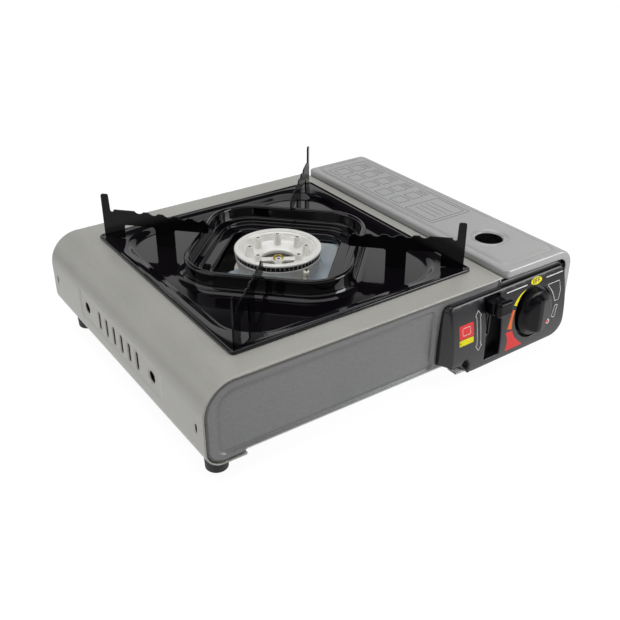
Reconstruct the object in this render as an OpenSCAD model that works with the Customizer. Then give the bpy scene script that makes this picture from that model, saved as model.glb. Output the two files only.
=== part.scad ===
// Portable gas stove for a 68 mm butane cartridge, millimetres, +Z up.
// The origin is on the ground, under the middle of the whole stove.
// +X runs to the right along the front, and the front faces -Y.

/* [Casing] */
// Height of the top sheet above the ground
top_z = 84; // [82:0.5:90]
// Height of the casing's lower edge above the ground
bottom_z = 17.5; // [14:0.5:19]
// Thickness of the steel sheets
sheet_t = 1; // [0.8:0.1:1.2]
// Outside radius of the bend at the top left
top_bend_r = 26; // [20:1:32]
// Outside radius of the bend at the lower left
low_bend_r = 14; // [10:1:17]
// Width of the flange that turns in under the left side
under_flange_w = 18.5; // [12:0.5:24]
// How far the front and rear panels sit inside the casing's edges
panel_inset = 1; // [0.5:0.1:2]
// Height of the front panel's lower edge above the casing's lower edge
panel_rise = 3.5; // [2.5:0.5:5]
// Depth of the pressed fields in the sheets
emboss_t = 0.6; // [0.3:0.1:0.7]

/* [Left side vents] */
// Number of upright vent slots
slot_n = 6; // [4:1:8]
// Spacing of the vent slots
slot_pitch = 14; // [10:0.5:16]
// Height of a vent slot
slot_h = 15.5; // [10:0.5:20]
// Width of a vent slot
slot_w = 3; // [2:0.5:5]
// Height of the middle of the vents above the ground
vent_z = 50; // [46:1:54]
// Distance between the two round holes
round_hole_span = 120; // [110:1:130]
// Radius of a round hole
round_hole_r = 4.7; // [3:0.1:6]

/* [Drip pan] */
// Width of the drip pan
pan_w = 218.5; // [212:0.5:222]
// Depth of the drip pan
pan_d = 226; // [220:0.5:232]
// Margin from the casing's left side to the pan
pan_margin_x = 35.5; // [33:0.5:39]
// How far the pan's middle lies in front of the casing's middle
pan_forward = 2; // [0:0.5:3]
// Thickness of the pan's steel
pan_t = 0.8; // [0.6:0.1:1]
// Width of the rolled hem
hem_w = 2.2; // [1.8:0.1:3]
// Height of the rolled hem
hem_h = 2.6; // [2.2:0.1:3]
// Width of the flat shelf inside the hem
shelf_w = 5; // [3:0.5:6]
// Run of the slope from the shelf to the floor
slope_run = 8; // [5:0.5:10]
// Depth of the floor below the shelf
pan_drop = 4.8; // [4:0.1:6]
// Corner radius where the shelf ends
shelf_r = 40; // [30:1:46]
// Half the distance across the flats of the raised collar
collar_half = 68; // [65:0.5:72]
// Corner radius of the raised collar
collar_r = 36; // [30:1:42]
// Height of the collar's rim above the top sheet
collar_h = 13; // [10:0.5:16]
// Width of the collar's rim
rim_w = 4.5; // [3.5:0.5:6]
// Height of the bowl's floor above the pan's floor
bowl_rise = 1.5; // [1:0.5:3]
// Half the distance across the flats of the burner opening
burner_gap_half = 46; // [43:0.5:49]
// Corner radius of the burner opening
burner_gap_r = 14; // [10:1:22]
// Depth of the turned-down edge round the burner opening
edge_drop = 6; // [4:0.5:7]
// Run of the flare at the collar's foot
skirt_run = 11; // [8:0.5:14]
// Rise of that flare up the collar's wall
skirt_rise = 5; // [3:0.1:6]

/* [Pan supports] */
// Thickness of a support
fin_t = 1.4; // [1:0.1:2]
// Height of the level top edge above the top sheet
fin_h = 27; // [23:0.5:30]
// Height of the horn above the level edge
horn_h = 13.5; // [10:0.5:16]
// Width of the horn
horn_w = 6.5; // [5:0.5:8]
// Length of the level edge beside the horn
level_len = 19; // [14:0.5:24]
// Number of waves along the top edge
wave_n = 5; // [3:1:5]
// Spacing of the waves
wave_pitch = 12.7; // [11:0.1:13]
// Depth of a wave
wave_depth = 2; // [1:0.1:3]
// Fall of the wavy edge towards the burner
wave_fall = 3; // [0:0.5:4]
// Distance from the burner's axis to a support's inner tip
fin_tip = 58.5; // [56:0.5:61]
// Width of the outer leg
outer_leg_w = 18; // [14:0.5:22]
// Width of the middle leg
mid_leg_w = 16.5; // [12:0.5:18]
// Distance from the burner's axis to the middle leg
mid_leg_s = 88.5; // [86.5:0.5:92]
// Depth of the rib between the legs, below the level edge
rib_h = 13; // [11:0.5:14]

/* [Burner] */
// Outside radius of the burner head
head_r = 35.9; // [34:0.1:37]
// Height of the burner head's rim above the top sheet
head_rise = 6.5; // [5:0.5:9]
// Thickness of the burner head's rim
head_rim_t = 1.9; // [1.5:0.1:3]
// Radius of the opening in the middle of the head
well_r = 14.6; // [12:0.1:17]
// Depth of that opening below the rim
well_depth = 11; // [9:0.5:12]
// Number of pegs on the head
peg_n = 8; // [6:1:10]
// Radius of the circle of pegs
peg_circle_r = 23.1; // [21:0.1:25]
// Height of the pegs above the rim
peg_rise = 1.5; // [0.5:0.5:2]
// Radius of a peg
peg_r = 2.3; // [1.8:0.1:2.8]
// Height of the ring of flame ports
port_ring_h = 4.1; // [3:0.1:5]
// Number of flame ports
port_n = 60; // [40:2:72]
// Radius of the gas chamber under the head
chamber_r = 18; // [16:0.5:20]
// Outside radius of the mixing tube
tube_r = 7.5; // [6.5:0.1:8]
// Height of the mixing tube's axis above the ground
tube_z = 54; // [52:0.5:56]
// Wall of the mixing tube
tube_wall = 1.2; // [0.8:0.1:1.6]
// Thickness of the heat plate beside the burner
heat_plate_t = 1; // [0.8:0.1:1.4]

/* [Cartridge lid] */
// Width of the plain strip between the pan and the lid
strip_w = 14; // [12:0.5:16]
// Height of the lid above the top sheet
lid_rise = 6; // [5.5:0.5:8]
// Outside radius of the bend along the lid's right side
lid_bend_r = 15; // [12:0.5:18]
// Height of the lid's skirt above the ground
lid_skirt_z = 32; // [31:0.5:36]
// Overhang of the lid in front of the casing
lid_front_lap = 1.5; // [1.3:0.1:3]
// Gap between the lid's rear and the casing's rear edge
lid_rear_gap = 4.5; // [3:0.5:6]
// Height of the lid's front and rear flanges
lid_flange_h = 8; // [7:0.5:9]
// Radius of the round hole in the lid
lid_hole_r = 12.25; // [10:0.25:14]
// Distance from the casing's front to that hole
lid_hole_y = 51; // [46:0.5:56]
// Distance from the lid's left edge to that hole
lid_hole_x = 32.5; // [28:0.5:40]
// Gap between the lid's skirt and the bay's wall
lid_side_gap = 1; // [0.6:0.1:1.5]
// Radius of a hinge pin
pin_r = 1.5; // [1.2:0.1:1.8]
// Distance from the lid's right face to a hinge pin's axis
hinge_inset = 4; // [3.9:0.1:5]
// Height of a hinge pin's axis above the casing's lower edge
hinge_rise = 7.5; // [7:0.5:9]
// Wall of a hinge barrel round its pin
barrel_wall = 1.7; // [1.4:0.1:2]
// Thickness of a hinge ear
ear_t = 2; // [1.5:0.1:3]
// Distance between the two hinges
hinge_span = 160; // [140:1:164]
// Length of a hinge barrel on the lid
barrel_len = 10; // [8:0.5:14]

/* [Control panel] */
// Width of the control panel
panel_w = 134; // [130:0.5:136]
// Distance from the casing's right side to the panel
panel_margin = 8.5; // [7.5:0.5:11]
// Height of the panel's lower edge above the ground
panel_low_z = 15; // [14.5:0.5:16]
// Distance from the top sheet down to the panel's top edge
panel_top_gap = 7; // [6.5:0.5:9]
// How far the panel stands out at its middle
panel_out = 11.5; // [10.5:0.5:13]
// Radius of the panel's curved face
panel_face_r = 150; // [140:1:180]
// Wall of the panel moulding
panel_wall = 2; // [1.6:0.1:2.6]
// Radius of the panel's lower right corner
panel_corner_r = 14; // [10:1:15]
// Radius of the control panel's upper right corner (mm)
panel_top_r = 5.5; // [4:0.5:6]
// How much less the panel's right end stands out than its left end
panel_sweep = 2.5; // [0:0.5:3]
// Width of the step in the panel's lower left corner
panel_step_w = 25; // [23:0.5:27]
// Height of the step in the panel's lower left corner
panel_step_h = 11.5; // [9:0.5:12]
// How far the front panel's tab reaches out under that step
tab_out = 8; // [4:0.5:10]

/* [Knob] */
// How far the knob's axis lies to the left of the cartridge's axis
knob_left = 6; // [3:0.5:8]
// Height of the knob's axis above the ground
knob_z = 47; // [44:0.5:49]
// Radius of the knob
knob_r = 20.4; // [18:0.2:22]
// How far the knob's face stands out from the casing's front
knob_out = 13.5; // [12.5:0.5:16]
// Height of the grip bar on the knob's face
grip_h = 5.2; // [4:0.2:8]
// Width of the grip bar
grip_w = 8; // [6:0.5:11]
// Radius of the valve spindle
spindle_r = 3; // [2.5:0.1:3.5]

/* [Lock lever] */
// Distance from the panel's left end to the middle of the lever
lever_x = 49.5; // [47:0.5:52]
// Travel of the lock lever
lever_travel = 24; // [20:0.5:24]
// Width of the lever's thumb pad
thumb_w = 21; // [18:0.5:24]
// Height of the lever's thumb pad
thumb_h = 13.5; // [11:0.5:15]
// How far the thumb pad stands out from the casing's front
thumb_out = 19.5; // [18:0.5:24]
// Travel of the cartridge slide
slide_travel = 8; // [6:0.5:10]

/* [Regulator] */
// Distance from the casing's front to the regulator's bracket
bracket_set = 46; // [44:0.5:50]
// Distance from the casing's front to the regulator's front
reg_set = 9.5; // [9:0.5:11]
// Reach of the regulator to the left of the knob's axis
reg_left = 17.5; // [16:0.5:19]
// Reach of the regulator to the right of the knob's axis
reg_right = 24.5; // [23:0.5:27]
// Reach of the regulator below the knob's axis
reg_low = 15; // [14:0.5:16]
// Reach of the regulator above the knob's axis
reg_high = 23; // [21:0.5:25]
// Radius of the diaphragm cover
cover_r = 17; // [16:0.5:18]
// Thickness of the diaphragm cover
cover_t = 7; // [5:0.5:8]
// Thickness of the diaphragm cover's flange
cover_flange_t = 2; // [1.5:0.1:3]
// Radius of the circle of the cover's screws
cover_screw_r = 14; // [13.5:0.1:14.5]
// Outside radius of the cartridge port
port_r = 11; // [10:0.5:13]
// Length of the cartridge port behind the bracket
port_len = 12; // [11:0.5:14]
// Radius of the port's bore
port_bore_r = 6; // [5.5:0.1:6.5]
// Depth of the port's bore
port_bore_len = 8; // [7:0.5:9]
// Radius of the port's seal
seal_r = 4.6; // [4:0.1:5]
// Thickness of the port's seal
seal_t = 2.5; // [2:0.1:3]
// Radius of the igniter's body
igniter_r = 5.5; // [5:0.1:6]
// Distance from the knob's axis to the right, to the igniter's axis
igniter_right = 15.5; // [14:0.5:17]
// Thickness of the igniter cam
cam_bar_t = 3; // [2:0.1:3.2]

/* [Cartridge] */
// Diameter of the cartridge that the bay holds
cartridge_dia = 68; // [66:0.5:70]
// Gap between the cartridge and each side of the bay
cartridge_gap = 4; // [3.5:0.1:6]
// Length of the cartridge from its base to the rim of its collar
cartridge_len = 190; // [184:1:196]
// Gap between the cartridge slide and the rear panel
slide_rear_gap = 15.5; // [8:0.5:20]
// Thickness of the cartridge slide
slide_t = 1.5; // [1.2:0.1:2]
// Height of the cartridge slide's bar
slide_bar_h = 9; // [7:0.5:10]

/* [Feet] */
// Radius of a foot
foot_r = 8.5; // [7:0.5:10]
// Distance from the casing's side to a foot's axis
foot_inset_x = 18; // [16:0.5:20]
// Distance from the casing's front or rear to a foot's axis
foot_inset_y = 20; // [17:0.5:24]
// Radius of a foot screw's shank
foot_screw_r = 2; // [1.5:0.1:2.5]

/* [Clearances] */
// Radial clearance of a pin or shaft that turns in its hole
run_clear = 0.05; // [0.02:0.01:0.1]
// Gap between moving pieces and their neighbours
move_gap = 0.4; // [0.3:0.1:0.6]

/* [Hidden] */
$fn = 64;

eps = 0.01;                                   // keeps a cut clear of the face that it opens
cut = 1;                                      // how far a cutting solid runs past a wall

// The casing's size follows from the pan, the cartridge and what stands round them
casing_w = pan_margin_x + pan_w + strip_w + cartridge_dia + 2 * cartridge_gap + lid_side_gap;
casing_d = bracket_set + port_len + cartridge_len + slide_travel + slide_t + slide_rear_gap
  + panel_inset + sheet_t;

// Casing planes, in a frame centred on the casing
left_x = -casing_w / 2;
right_x = casing_w / 2;
front_y = -casing_d / 2;
rear_y = casing_d / 2;
reach = max(knob_out + grip_h, thumb_out);    // the foremost point in front of the casing
shift_y = reach / 2;                          // centres the whole stove on the origin
panel_face_y = front_y + panel_inset;         // outside of the front panel
panel_in_y = panel_face_y + sheet_t;          // inside of the front panel
rear_in_y = rear_y - panel_inset - sheet_t;   // inside of the rear panel
under_top_z = top_z - sheet_t;

// Drip pan
pan_x = left_x + pan_margin_x + pan_w / 2;
pan_y = -pan_forward;
shelf_z = top_z + hem_h - pan_t;              // top of the shelf inside the hem
floor_z = shelf_z - pan_drop;                 // top of the pan's floor
bowl_z = floor_z + bowl_rise;                 // top of the bowl's floor
rim_z = top_z + collar_h;                     // top of the collar's rim
hem_lap = 2.6;                                // width of the hem that rests on the top sheet
slope_r = shelf_r - slope_run;                // corner radius at the foot of the slope

// Cartridge lid and bay
lid_x0 = pan_x + pan_w / 2 + strip_w;
lid_top_z = top_z + lid_rise;
lid_y0 = front_y - lid_front_lap;
lid_y1 = rear_y - lid_rear_gap;
cover_x1 = lid_x0 - sheet_t;                  // right edge of the top cover
cover_flange_h = 10;
bay_in_x0 = cover_x1 - sheet_t;               // inside of the bay's left wall
bay_out_x1 = right_x - sheet_t - lid_side_gap; // outside of the bay's right wall
bay_in_x1 = bay_out_x1 - sheet_t;
bay_floor_z = bottom_z + sheet_t;             // top of the bay's floor
bay_bend_r = 8;
bay_wall_z = 76;                              // top of the bay's right wall
bay_end_z = 80;                               // top of the bay's front and rear ends
base_z = bottom_z + 2.5;                      // underside of the base plate
base_top_z = base_z + sheet_t;
hinge_x = right_x - hinge_inset;
hinge_z = bottom_z + hinge_rise;
barrel_r = pin_r + barrel_wall;
hinge_ys = [-hinge_span / 2, hinge_span / 2];
slide_gap = 0.3;                              // gap under the cartridge slide
slide_bar_z0 = bay_floor_z + 3.5;
slide_bar_z1 = slide_bar_z0 + slide_bar_h;
cartridge_x = (bay_in_x0 + bay_in_x1) / 2;
cartridge_z = bay_floor_z + slide_gap + slide_t + cartridge_dia / 2;

// Control panel, knob and lever
panel_x1 = right_x - panel_margin;
panel_x0 = panel_x1 - panel_w;
panel_top_z = top_z - panel_top_gap;
panel_mid_z = panel_low_z + 15;               // height at which the curved face stands out most
panel_front_y = front_y - panel_out;
tab_x0 = panel_x0 + panel_step_w - 11;         // the tab's left end
tab_x1 = panel_x0 + panel_step_w - 1;          // the tab's right end, clear of the panel
panel_draft = 5.5;                            // how far the left end leans in
well_floor_y = front_y - 4;                   // front of the knob well's floor
well_wall_r = knob_r + 1.4;
knob_x = cartridge_x - knob_left;
knob_face_y = front_y - knob_out;
lever_cx = panel_x0 + lever_x;               // middle of the lever
trough_w = 17;
trough_z0 = panel_low_z + 6.5;
trough_z1 = panel_top_z - 2.5;
trough_floor_y = front_y - 1.5;               // front of the lever trough's floor
thumb_z1 = trough_z1 - 0.6;
thumb_z0 = thumb_z1 - thumb_h;
shank_w = 4;
shank_h = 7;
shank_z = (thumb_z0 + thumb_z1) / 2;
drive_pin_r = 2;
cam_t = 2;
cam_x1 = bay_in_x0 - sheet_t - 3;             // right face of the cam plate
cam_edge = 3.6;                               // from the drive pin's axis to the plate's edge
cam_z1 = under_top_z - 1;
cam_z0 = cam_z1 - lever_travel - 2 * cam_edge;
drive_z = cam_z0 + cam_edge;                  // height of the drive pin
drive_y = front_y + 25.5;                     // the drive pin at rest

// Regulator
bracket_y = front_y + bracket_set;            // front face of the regulator's bracket
reg_x0 = knob_x - reg_left;
reg_x1 = knob_x + reg_right;
reg_y0 = front_y + reg_set;
reg_z0 = knob_z - reg_low;
reg_z1 = knob_z + reg_high;
port_y = bracket_y + port_len;                // rear end of the cartridge port
cam_y0 = panel_in_y + 1.2;                    // front of the igniter cam
igniter_x = knob_x + igniter_right;
igniter_z = reg_z0 - igniter_r - 0.6;
cover_y = (reg_y0 + bracket_y) / 2;           // axis of the diaphragm cover
cover_z = (reg_z0 + reg_z1) / 2;
screw_inset = 4;                              // from the regulator's edges to its screws

// Burner
rim_top_z = top_z + head_rise;
port_z1 = rim_top_z - head_rim_t;             // top of the ring of flame ports
port_z0 = port_z1 - port_ring_h;              // top of the burner base
ring_in_r = head_r - 4;
seat_z = top_z - 14;                          // underside of the burner base's flange
seat_r = head_r + 0.6;
flange_t = 1.5;
chamber_z0 = 44;
chamber_floor = 2.5;
cast_wall = 2.1;
plate_z = seat_z + flange_t;                  // underside of the heat plate
bar_angle = -31.5;                            // direction of the bar across the burner's opening
well_z = rim_top_z - well_depth;              // foot of the dish
flap_angle = 42.7;                            // direction in which the heat plate's flap rises
flap_rise = 6;
flap_s = head_r / 4;                          // from the burner's axis to the flap's fold
flap_w = head_r * 0.95;
flap_reach = head_r * 0.87;                   // from the burner's axis to the flap's middle, sideways
bar_z1 = well_z - 0.3;                        // top of the bar across the opening
bar_t = 2;
inj_r = 4.5;
// The mixing tube points from the burner to the side of the regulator
inj_x = reg_x0;
inj_y = bracket_y - 15.4;
tube_dx = inj_x - pan_x;
tube_dy = inj_y - pan_y;
tube_angle = atan2(tube_dy, tube_dx);
tube_run = norm([tube_dx, tube_dy]);          // from the burner's axis to the regulator
mouth_gap = 5;                                // from the tube's mouth to the injector
tube_len = tube_run - 28.5;
insulator_r = 2.6;
electrode_s = seat_r + insulator_r + 0.3;      // from the burner's axis to the electrode
electrode_angle = -88;
insulator_z0 = plate_z - 6;
insulator_z1 = port_z0 - 0.3;                  // top of the electrode's porcelain

// The ignition lead runs from the igniter under the regulator, through the bay's wall
// over the cartridge slide, and along the base plate to the electrode
lead_r = 1.1;
lead_y = bracket_y - 3.5;
lead_z = slide_bar_z1 + 5;
lead_low_z = base_top_z + lead_r + 0.25;
electrode_x = pan_x + electrode_s * cos(electrode_angle);
electrode_y = pan_y + electrode_s * sin(electrode_angle);
lead_points = [
  [igniter_x, bracket_y - 6, igniter_z],
  [igniter_x, lead_y, igniter_z],
  [reg_x0 - 6, lead_y, igniter_z],
  [reg_x0 - 6, lead_y, lead_z],
  [bay_in_x0 - 7, lead_y, lead_z],
  [bay_in_x0 - 7, lead_y, lead_low_z],
  [electrode_x, lead_y, lead_low_z],
  [electrode_x, electrode_y, lead_low_z],
  [electrode_x, electrode_y, plate_z - 7]
];

fin_angle = atan2(pan_d, pan_w);              // the supports point to the pan's corners
fin_out = norm([pan_w / 2 - hem_w, pan_d / 2 - hem_w]) - fin_t / 2 - 3; // outer end of a support
fin_z = top_z + fin_h;
horn_notch = 3.5;
level_s1 = fin_out - horn_w - horn_notch;
level_s0 = level_s1 - level_len;
rib_z = fin_z - rib_h;

casing_grey = [0.62, 0.62, 0.6];
panel_grey = [0.5, 0.5, 0.49];
steel = [0.75, 0.76, 0.78];
cast_alu = [0.8, 0.8, 0.79];
brass = [0.78, 0.6, 0.25];
enamel = [0.05, 0.05, 0.055];
black_plastic = [0.1, 0.1, 0.11];
rubber = [0.08, 0.08, 0.08];

// ---------------------------------------------------------------- helpers

// Moves a piece from the casing's own frame to the stove's frame
module at_casing() {
  translate([0, shift_y, 0]) children();
}

module at_burner() {
  at_casing() translate([pan_x, pan_y, 0]) children();
}

// Stands a profile drawn in X and Z upright and carries it from y0 to y1
module along_y(y0, y1) {
  translate([0, y1, 0]) rotate([90, 0, 0]) linear_extrude(y1 - y0) children();
}

// A round bar along Y
module rod_y(x, z, y0, y1, r) {
  translate([x, y0, z]) rotate([-90, 0, 0]) cylinder(r = r, h = y1 - y0);
}

// A round bar along X
module rod_x(y, z, x0, x1, r) {
  translate([x0, y, z]) rotate([0, 90, 0]) cylinder(r = r, h = x1 - x0);
}

// A block from one corner to the opposite corner
module block(low, high) {
  translate(low) cube(high - low);
}

// A rectangle centred on the origin with round corners
module round_rect(w, d, r) {
  square([w - 2 * r, d], center = true);
  square([w, d - 2 * r], center = true);
  for (sx = [-1, 1], sy = [-1, 1])
    translate([sx * (w / 2 - r), sy * (d / 2 - r)]) circle(r);
}

// A flat ring between two round-cornered squares of equal wall
module square_ring(half, r, wall) {
  difference() {
    round_rect(2 * half, 2 * half, r);
    round_rect(2 * (half - wall), 2 * (half - wall), r - wall);
  }
}

// An upright slot with round ends, drawn in two dimensions
module slot_2d(w, h) {
  square([w, h - w], center = true);
  for (s = [-1, 1]) translate([0, s * (h - w) / 2]) circle(w / 2);
}

// The casing's left end as a profile in X and Z, shrunk by a wall
module casing_section(inset, x1) {
  x0 = left_x + inset;
  z0 = bottom_z + inset;
  z1 = top_z - inset;
  rt = top_bend_r - inset;
  rl = low_bend_r - inset;
  translate([x0 + rt, z1 - rt]) circle(rt);
  translate([x0 + rl, z0 + rl]) circle(rl);
  translate([x0, z0 + rl]) square([max(rt, rl), z1 - rt - z0 - rl]);
  translate([x0 + rt, z1 - rt]) square([x1 - x0 - rt, rt]);
  translate([x0 + rl, z0]) square([x1 - x0 - rl, z1 - rt - z0 + eps]);
}

// ---------------------------------------------------------------- casing

module side_vents() {
  for (i = [0 : slot_n - 1])
    translate([0, (i - (slot_n - 1) / 2) * slot_pitch, vent_z])
      rotate([90, 0, 90]) translate([0, 0, left_x - cut]) linear_extrude(sheet_t * 2 + 2 * cut)
        slot_2d(slot_w, slot_h);
  for (s = [-1, 1])
    rod_x(s * round_hole_span / 2, vent_z, left_x - cut, left_x + 2 * sheet_t + cut, round_hole_r);
  for (s = [-1, 1])
    translate([0, s * (casing_d / 2 - 11), vent_z - 3])
      rotate([90, 0, 90]) translate([0, 0, left_x - cut]) linear_extrude(sheet_t * 2 + 2 * cut)
        slot_2d(3, 7);
}

// The pressed field round the vents
module side_field(x, t) {
  field_w = round_hole_span + 30;
  field_h = slot_h + 11;
  translate([x, 0, vent_z]) rotate([90, 0, 90]) linear_extrude(t) round_rect(field_w, field_h, 4);
}

module top_cover() {
  color(casing_grey) at_casing() difference() {
    union() {
      difference() {
        along_y(front_y, rear_y) casing_section(0, cover_x1);
        along_y(front_y - cut, rear_y + cut) casing_section(sheet_t, cover_x1 - sheet_t);
        // below the flange on the right and beyond the flange under the left side
        block([cover_x1 - sheet_t - cut, front_y - cut, bottom_z - cut],
              [cover_x1 + cut, rear_y + cut, top_z - cover_flange_h]);
        block([left_x + low_bend_r + under_flange_w, front_y - cut, bottom_z - cut],
              [cover_x1 + cut, rear_y + cut, bottom_z + sheet_t + eps]);
      }
      side_field(left_x + sheet_t - eps, emboss_t + eps);
    }
    // the flange on the right stops behind the front panel and before the rear panel
    for (y = [front_y - cut, rear_in_y])
      block([cover_x1 - sheet_t, y, top_z - cover_flange_h - cut],
            [cover_x1 + cut, y + cut + panel_inset + sheet_t, under_top_z]);
    side_field(left_x - cut, emboss_t + cut);
    side_vents();
    translate([pan_x, pan_y, under_top_z - cut]) linear_extrude(sheet_t + 2 * cut)
      round_rect(pan_w - 2 * hem_lap, pan_d - 2 * hem_lap, 4);
    for (s = [-1, 1]) foot_hole(-1, s);
  }
}

// The front's outline in X and Z; the rear panel has the same one
module end_outline() {
  low_z = bottom_z + panel_rise;
  intersection() {
    casing_section(sheet_t, bay_in_x0);
    union() {
      translate([left_x, low_z]) square([bay_in_x0 - left_x, top_z - low_z]);
      translate([left_x, bottom_z]) square([low_bend_r + under_flange_w, panel_rise + cut]);
    }
  }
  // the end of the bay, rounded to stay inside the lid
  corner_r = lid_bend_r - sheet_t - 1;
  corner_x = right_x - lid_bend_r;
  corner_z = lid_top_z - emboss_t - lid_bend_r;
  intersection() {
    bay_section(0);
    union() {
      translate([bay_in_x0 - eps, bottom_z]) square([corner_x - bay_in_x0 + eps, bay_end_z - bottom_z]);
      translate([corner_x - eps, bottom_z]) square([bay_out_x1 - corner_x + eps, corner_z - bottom_z]);
      intersection() {
        translate([corner_x, corner_z]) circle(corner_r);
        translate([corner_x - eps, corner_z - eps]) square([corner_r, bay_end_z - corner_z + eps]);
      }
    }
  }
}

// The recessed field of the front, which stops short of the control panel
module front_field() {
  x0 = left_x + 9;
  x1 = panel_x0 - 4;
  z0 = bottom_z + 12;
  z1 = top_z - 9;
  translate([(x0 + x1) / 2, (z0 + z1) / 2]) round_rect(x1 - x0, z1 - z0, 9);
}

module front_panel() {
  screws = panel_screw_places();
  color(panel_grey) at_casing() difference() {
    union() {
      along_y(panel_face_y, panel_in_y) end_outline();
      along_y(panel_in_y - eps, panel_in_y + emboss_t) front_field();
      // a tab that turns out under the step of the control panel
      block([tab_x0, panel_face_y, bottom_z - 1.5], [tab_x1, panel_in_y, bottom_z + 6]);
      block([tab_x0, front_y - tab_out, bottom_z - 1.5], [tab_x1, panel_in_y, bottom_z - 1.5 + sheet_t]);
    }
    along_y(panel_face_y - cut, panel_face_y + emboss_t) front_field();
    rod_y(knob_x, knob_z, panel_face_y - cut, panel_in_y + cut, spindle_r + 2);
    lever_slot(panel_face_y - cut, panel_in_y + cut);
    for (p = screws) rod_y(p[0], p[1], panel_face_y - cut, panel_in_y + cut, 1.55);
  }
}

module rear_panel() {
  vent_n = 8;
  color(casing_grey) at_casing() difference() {
    along_y(rear_in_y, rear_in_y + sheet_t) end_outline();
    for (i = [0 : vent_n - 1])
      translate([pan_x + (i - (vent_n - 1) / 2) * slot_pitch, 0, vent_z])
        along_y(rear_in_y - cut, rear_in_y + sheet_t + cut) slot_2d(slot_w, slot_h);
  }
}

// A hole for a foot's screw; sx and sy choose the corner
module foot_hole(sx, sy) {
  translate([sx * (casing_w / 2 - foot_inset_x), sy * (casing_d / 2 - foot_inset_y), bottom_z - cut])
    cylinder(r = foot_screw_r + run_clear, h = 8);
}

module base_plate() {
  joggle_x = left_x + low_bend_r + under_flange_w - 4;
  y0 = panel_in_y + emboss_t + 0.1;
  color(steel) at_casing() difference() {
    union() {
      block([joggle_x, y0, base_z], [bay_in_x0 - sheet_t, rear_in_y, base_top_z]);
      block([joggle_x, y0, bottom_z + sheet_t], [joggle_x + sheet_t, rear_in_y, base_top_z]);
      block([left_x + low_bend_r, y0, bottom_z + sheet_t],
            [joggle_x + sheet_t, rear_in_y, bottom_z + 2 * sheet_t]);
    }
    for (s = [-1, 1]) foot_hole(-1, s);
    // a round air inlet under the burner on each side of its bracket
    for (s = [-1, 1])
      translate([pan_x, pan_y + s * 45, base_z - cut]) cylinder(r = 14, h = sheet_t + 2 * cut);
  }
}

// The bay's section in X and Z, shrunk by a wall
module bay_section(inset) {
  x0 = bay_in_x0 - sheet_t + inset;
  x1 = bay_out_x1 - inset;
  z0 = bottom_z + inset;
  r = bay_bend_r - inset;
  translate([x0, z0]) square([x1 - r - x0, top_z - z0]);
  translate([x0, z0 + r]) square([x1 - x0, top_z - z0 - r]);
  translate([x1 - r, z0 + r]) circle(r);
}

module hinge_ears() {
  for (y = hinge_ys, s = [-1, 1]) {
    y0 = y + s * (barrel_len / 2 + move_gap + ear_t / 2);
    along_y(y0 - ear_t / 2, y0 + ear_t / 2) intersection() {
      bay_section(0);
      translate([hinge_x - barrel_r, bottom_z]) square([2 * barrel_r + 2, hinge_z + barrel_r - bottom_z]);
    }
  }
}

module cartridge_bay() {
  divider_z = under_top_z;
  color(casing_grey) at_casing() difference() {
    union() {
      intersection() {
        difference() {
          along_y(panel_in_y, rear_in_y) bay_section(0);
          along_y(panel_in_y - cut, rear_in_y + cut) bay_section(sheet_t);
        }
        union() {
          block([bay_in_x0 - sheet_t - cut, front_y, bottom_z - cut],
                [bay_in_x0 + cut, rear_y, divider_z]);
          block([bay_in_x0, front_y, bottom_z - cut], [right_x, rear_y, bay_wall_z]);
        }
      }
      hinge_ears();
    }
    // a window for each hinge barrel
    for (y = hinge_ys)
      block([hinge_x - barrel_r - move_gap, y - barrel_len / 2 - move_gap, bottom_z - cut],
            [right_x, y + barrel_len / 2 + move_gap, lid_skirt_z + 2]);
    for (y = hinge_ys)
      rod_y(hinge_x, hinge_z, y - barrel_len, y + barrel_len, pin_r + run_clear / 2);
    // the injector's window, the drive pin's slot and the lead's hole
    tube_at(tube_run - 30, tube_run - 5, inj_r + 2.5);
    block([bay_in_x0 - sheet_t - cut, drive_y - slide_travel - drive_pin_r - 1, drive_z - 2.6],
          [bay_in_x0 + cut, drive_y + drive_pin_r + 1, drive_z + 2.6]);
    rod_x(lead_y, lead_z, bay_in_x0 - sheet_t - cut, bay_in_x0 + cut, 3);
    for (s = [-1, 1]) foot_hole(1, s);
  }
}

module regulator_bracket() {
  color(steel) at_casing() difference() {
    block([bay_in_x0, bracket_y, bay_floor_z], [bay_in_x1, bracket_y + sheet_t, bay_wall_z]);
    rod_y(cartridge_x, cartridge_z, bracket_y - cut, bracket_y + sheet_t + cut, port_r + run_clear);
    // the slide's bar passes through the lower left corner
    block([bay_in_x0 - cut, bracket_y - cut, bay_floor_z - cut],
          [bay_in_x0 + 3, bracket_y + sheet_t + cut, slide_bar_z1 + 1]);
    // the right corner clears the bay's bend
    block([bay_in_x1 - bay_bend_r, bracket_y - cut, bay_floor_z - cut],
          [bay_in_x1 + cut, bracket_y + sheet_t + cut, bay_floor_z + bay_bend_r]);
    for (p = bracket_screw_places())
      rod_y(p[0], p[1], bracket_y - cut, bracket_y + sheet_t + cut, 1.55);
  }
}

// ---------------------------------------------------------------- feet

module foot(sx, sy) {
  x = sx * (casing_w / 2 - foot_inset_x);
  y = sy * (casing_d / 2 - foot_inset_y);
  color(rubber) at_casing() translate([x, y, 0]) difference() {
    rotate_extrude() polygon([
      [foot_screw_r + run_clear, 9], [foot_screw_r + run_clear, bottom_z], [foot_r, bottom_z],
      [foot_r, bottom_z - 3], [foot_r - 0.7, 1], [foot_r - 1.7, 0], [4.6, 0], [4.6, 9]
    ]);
  }
}

module foot_front_left() { foot(-1, -1); }
module foot_front_right() { foot(1, -1); }
module foot_rear_left() { foot(-1, 1); }
module foot_rear_right() { foot(1, 1); }

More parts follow.
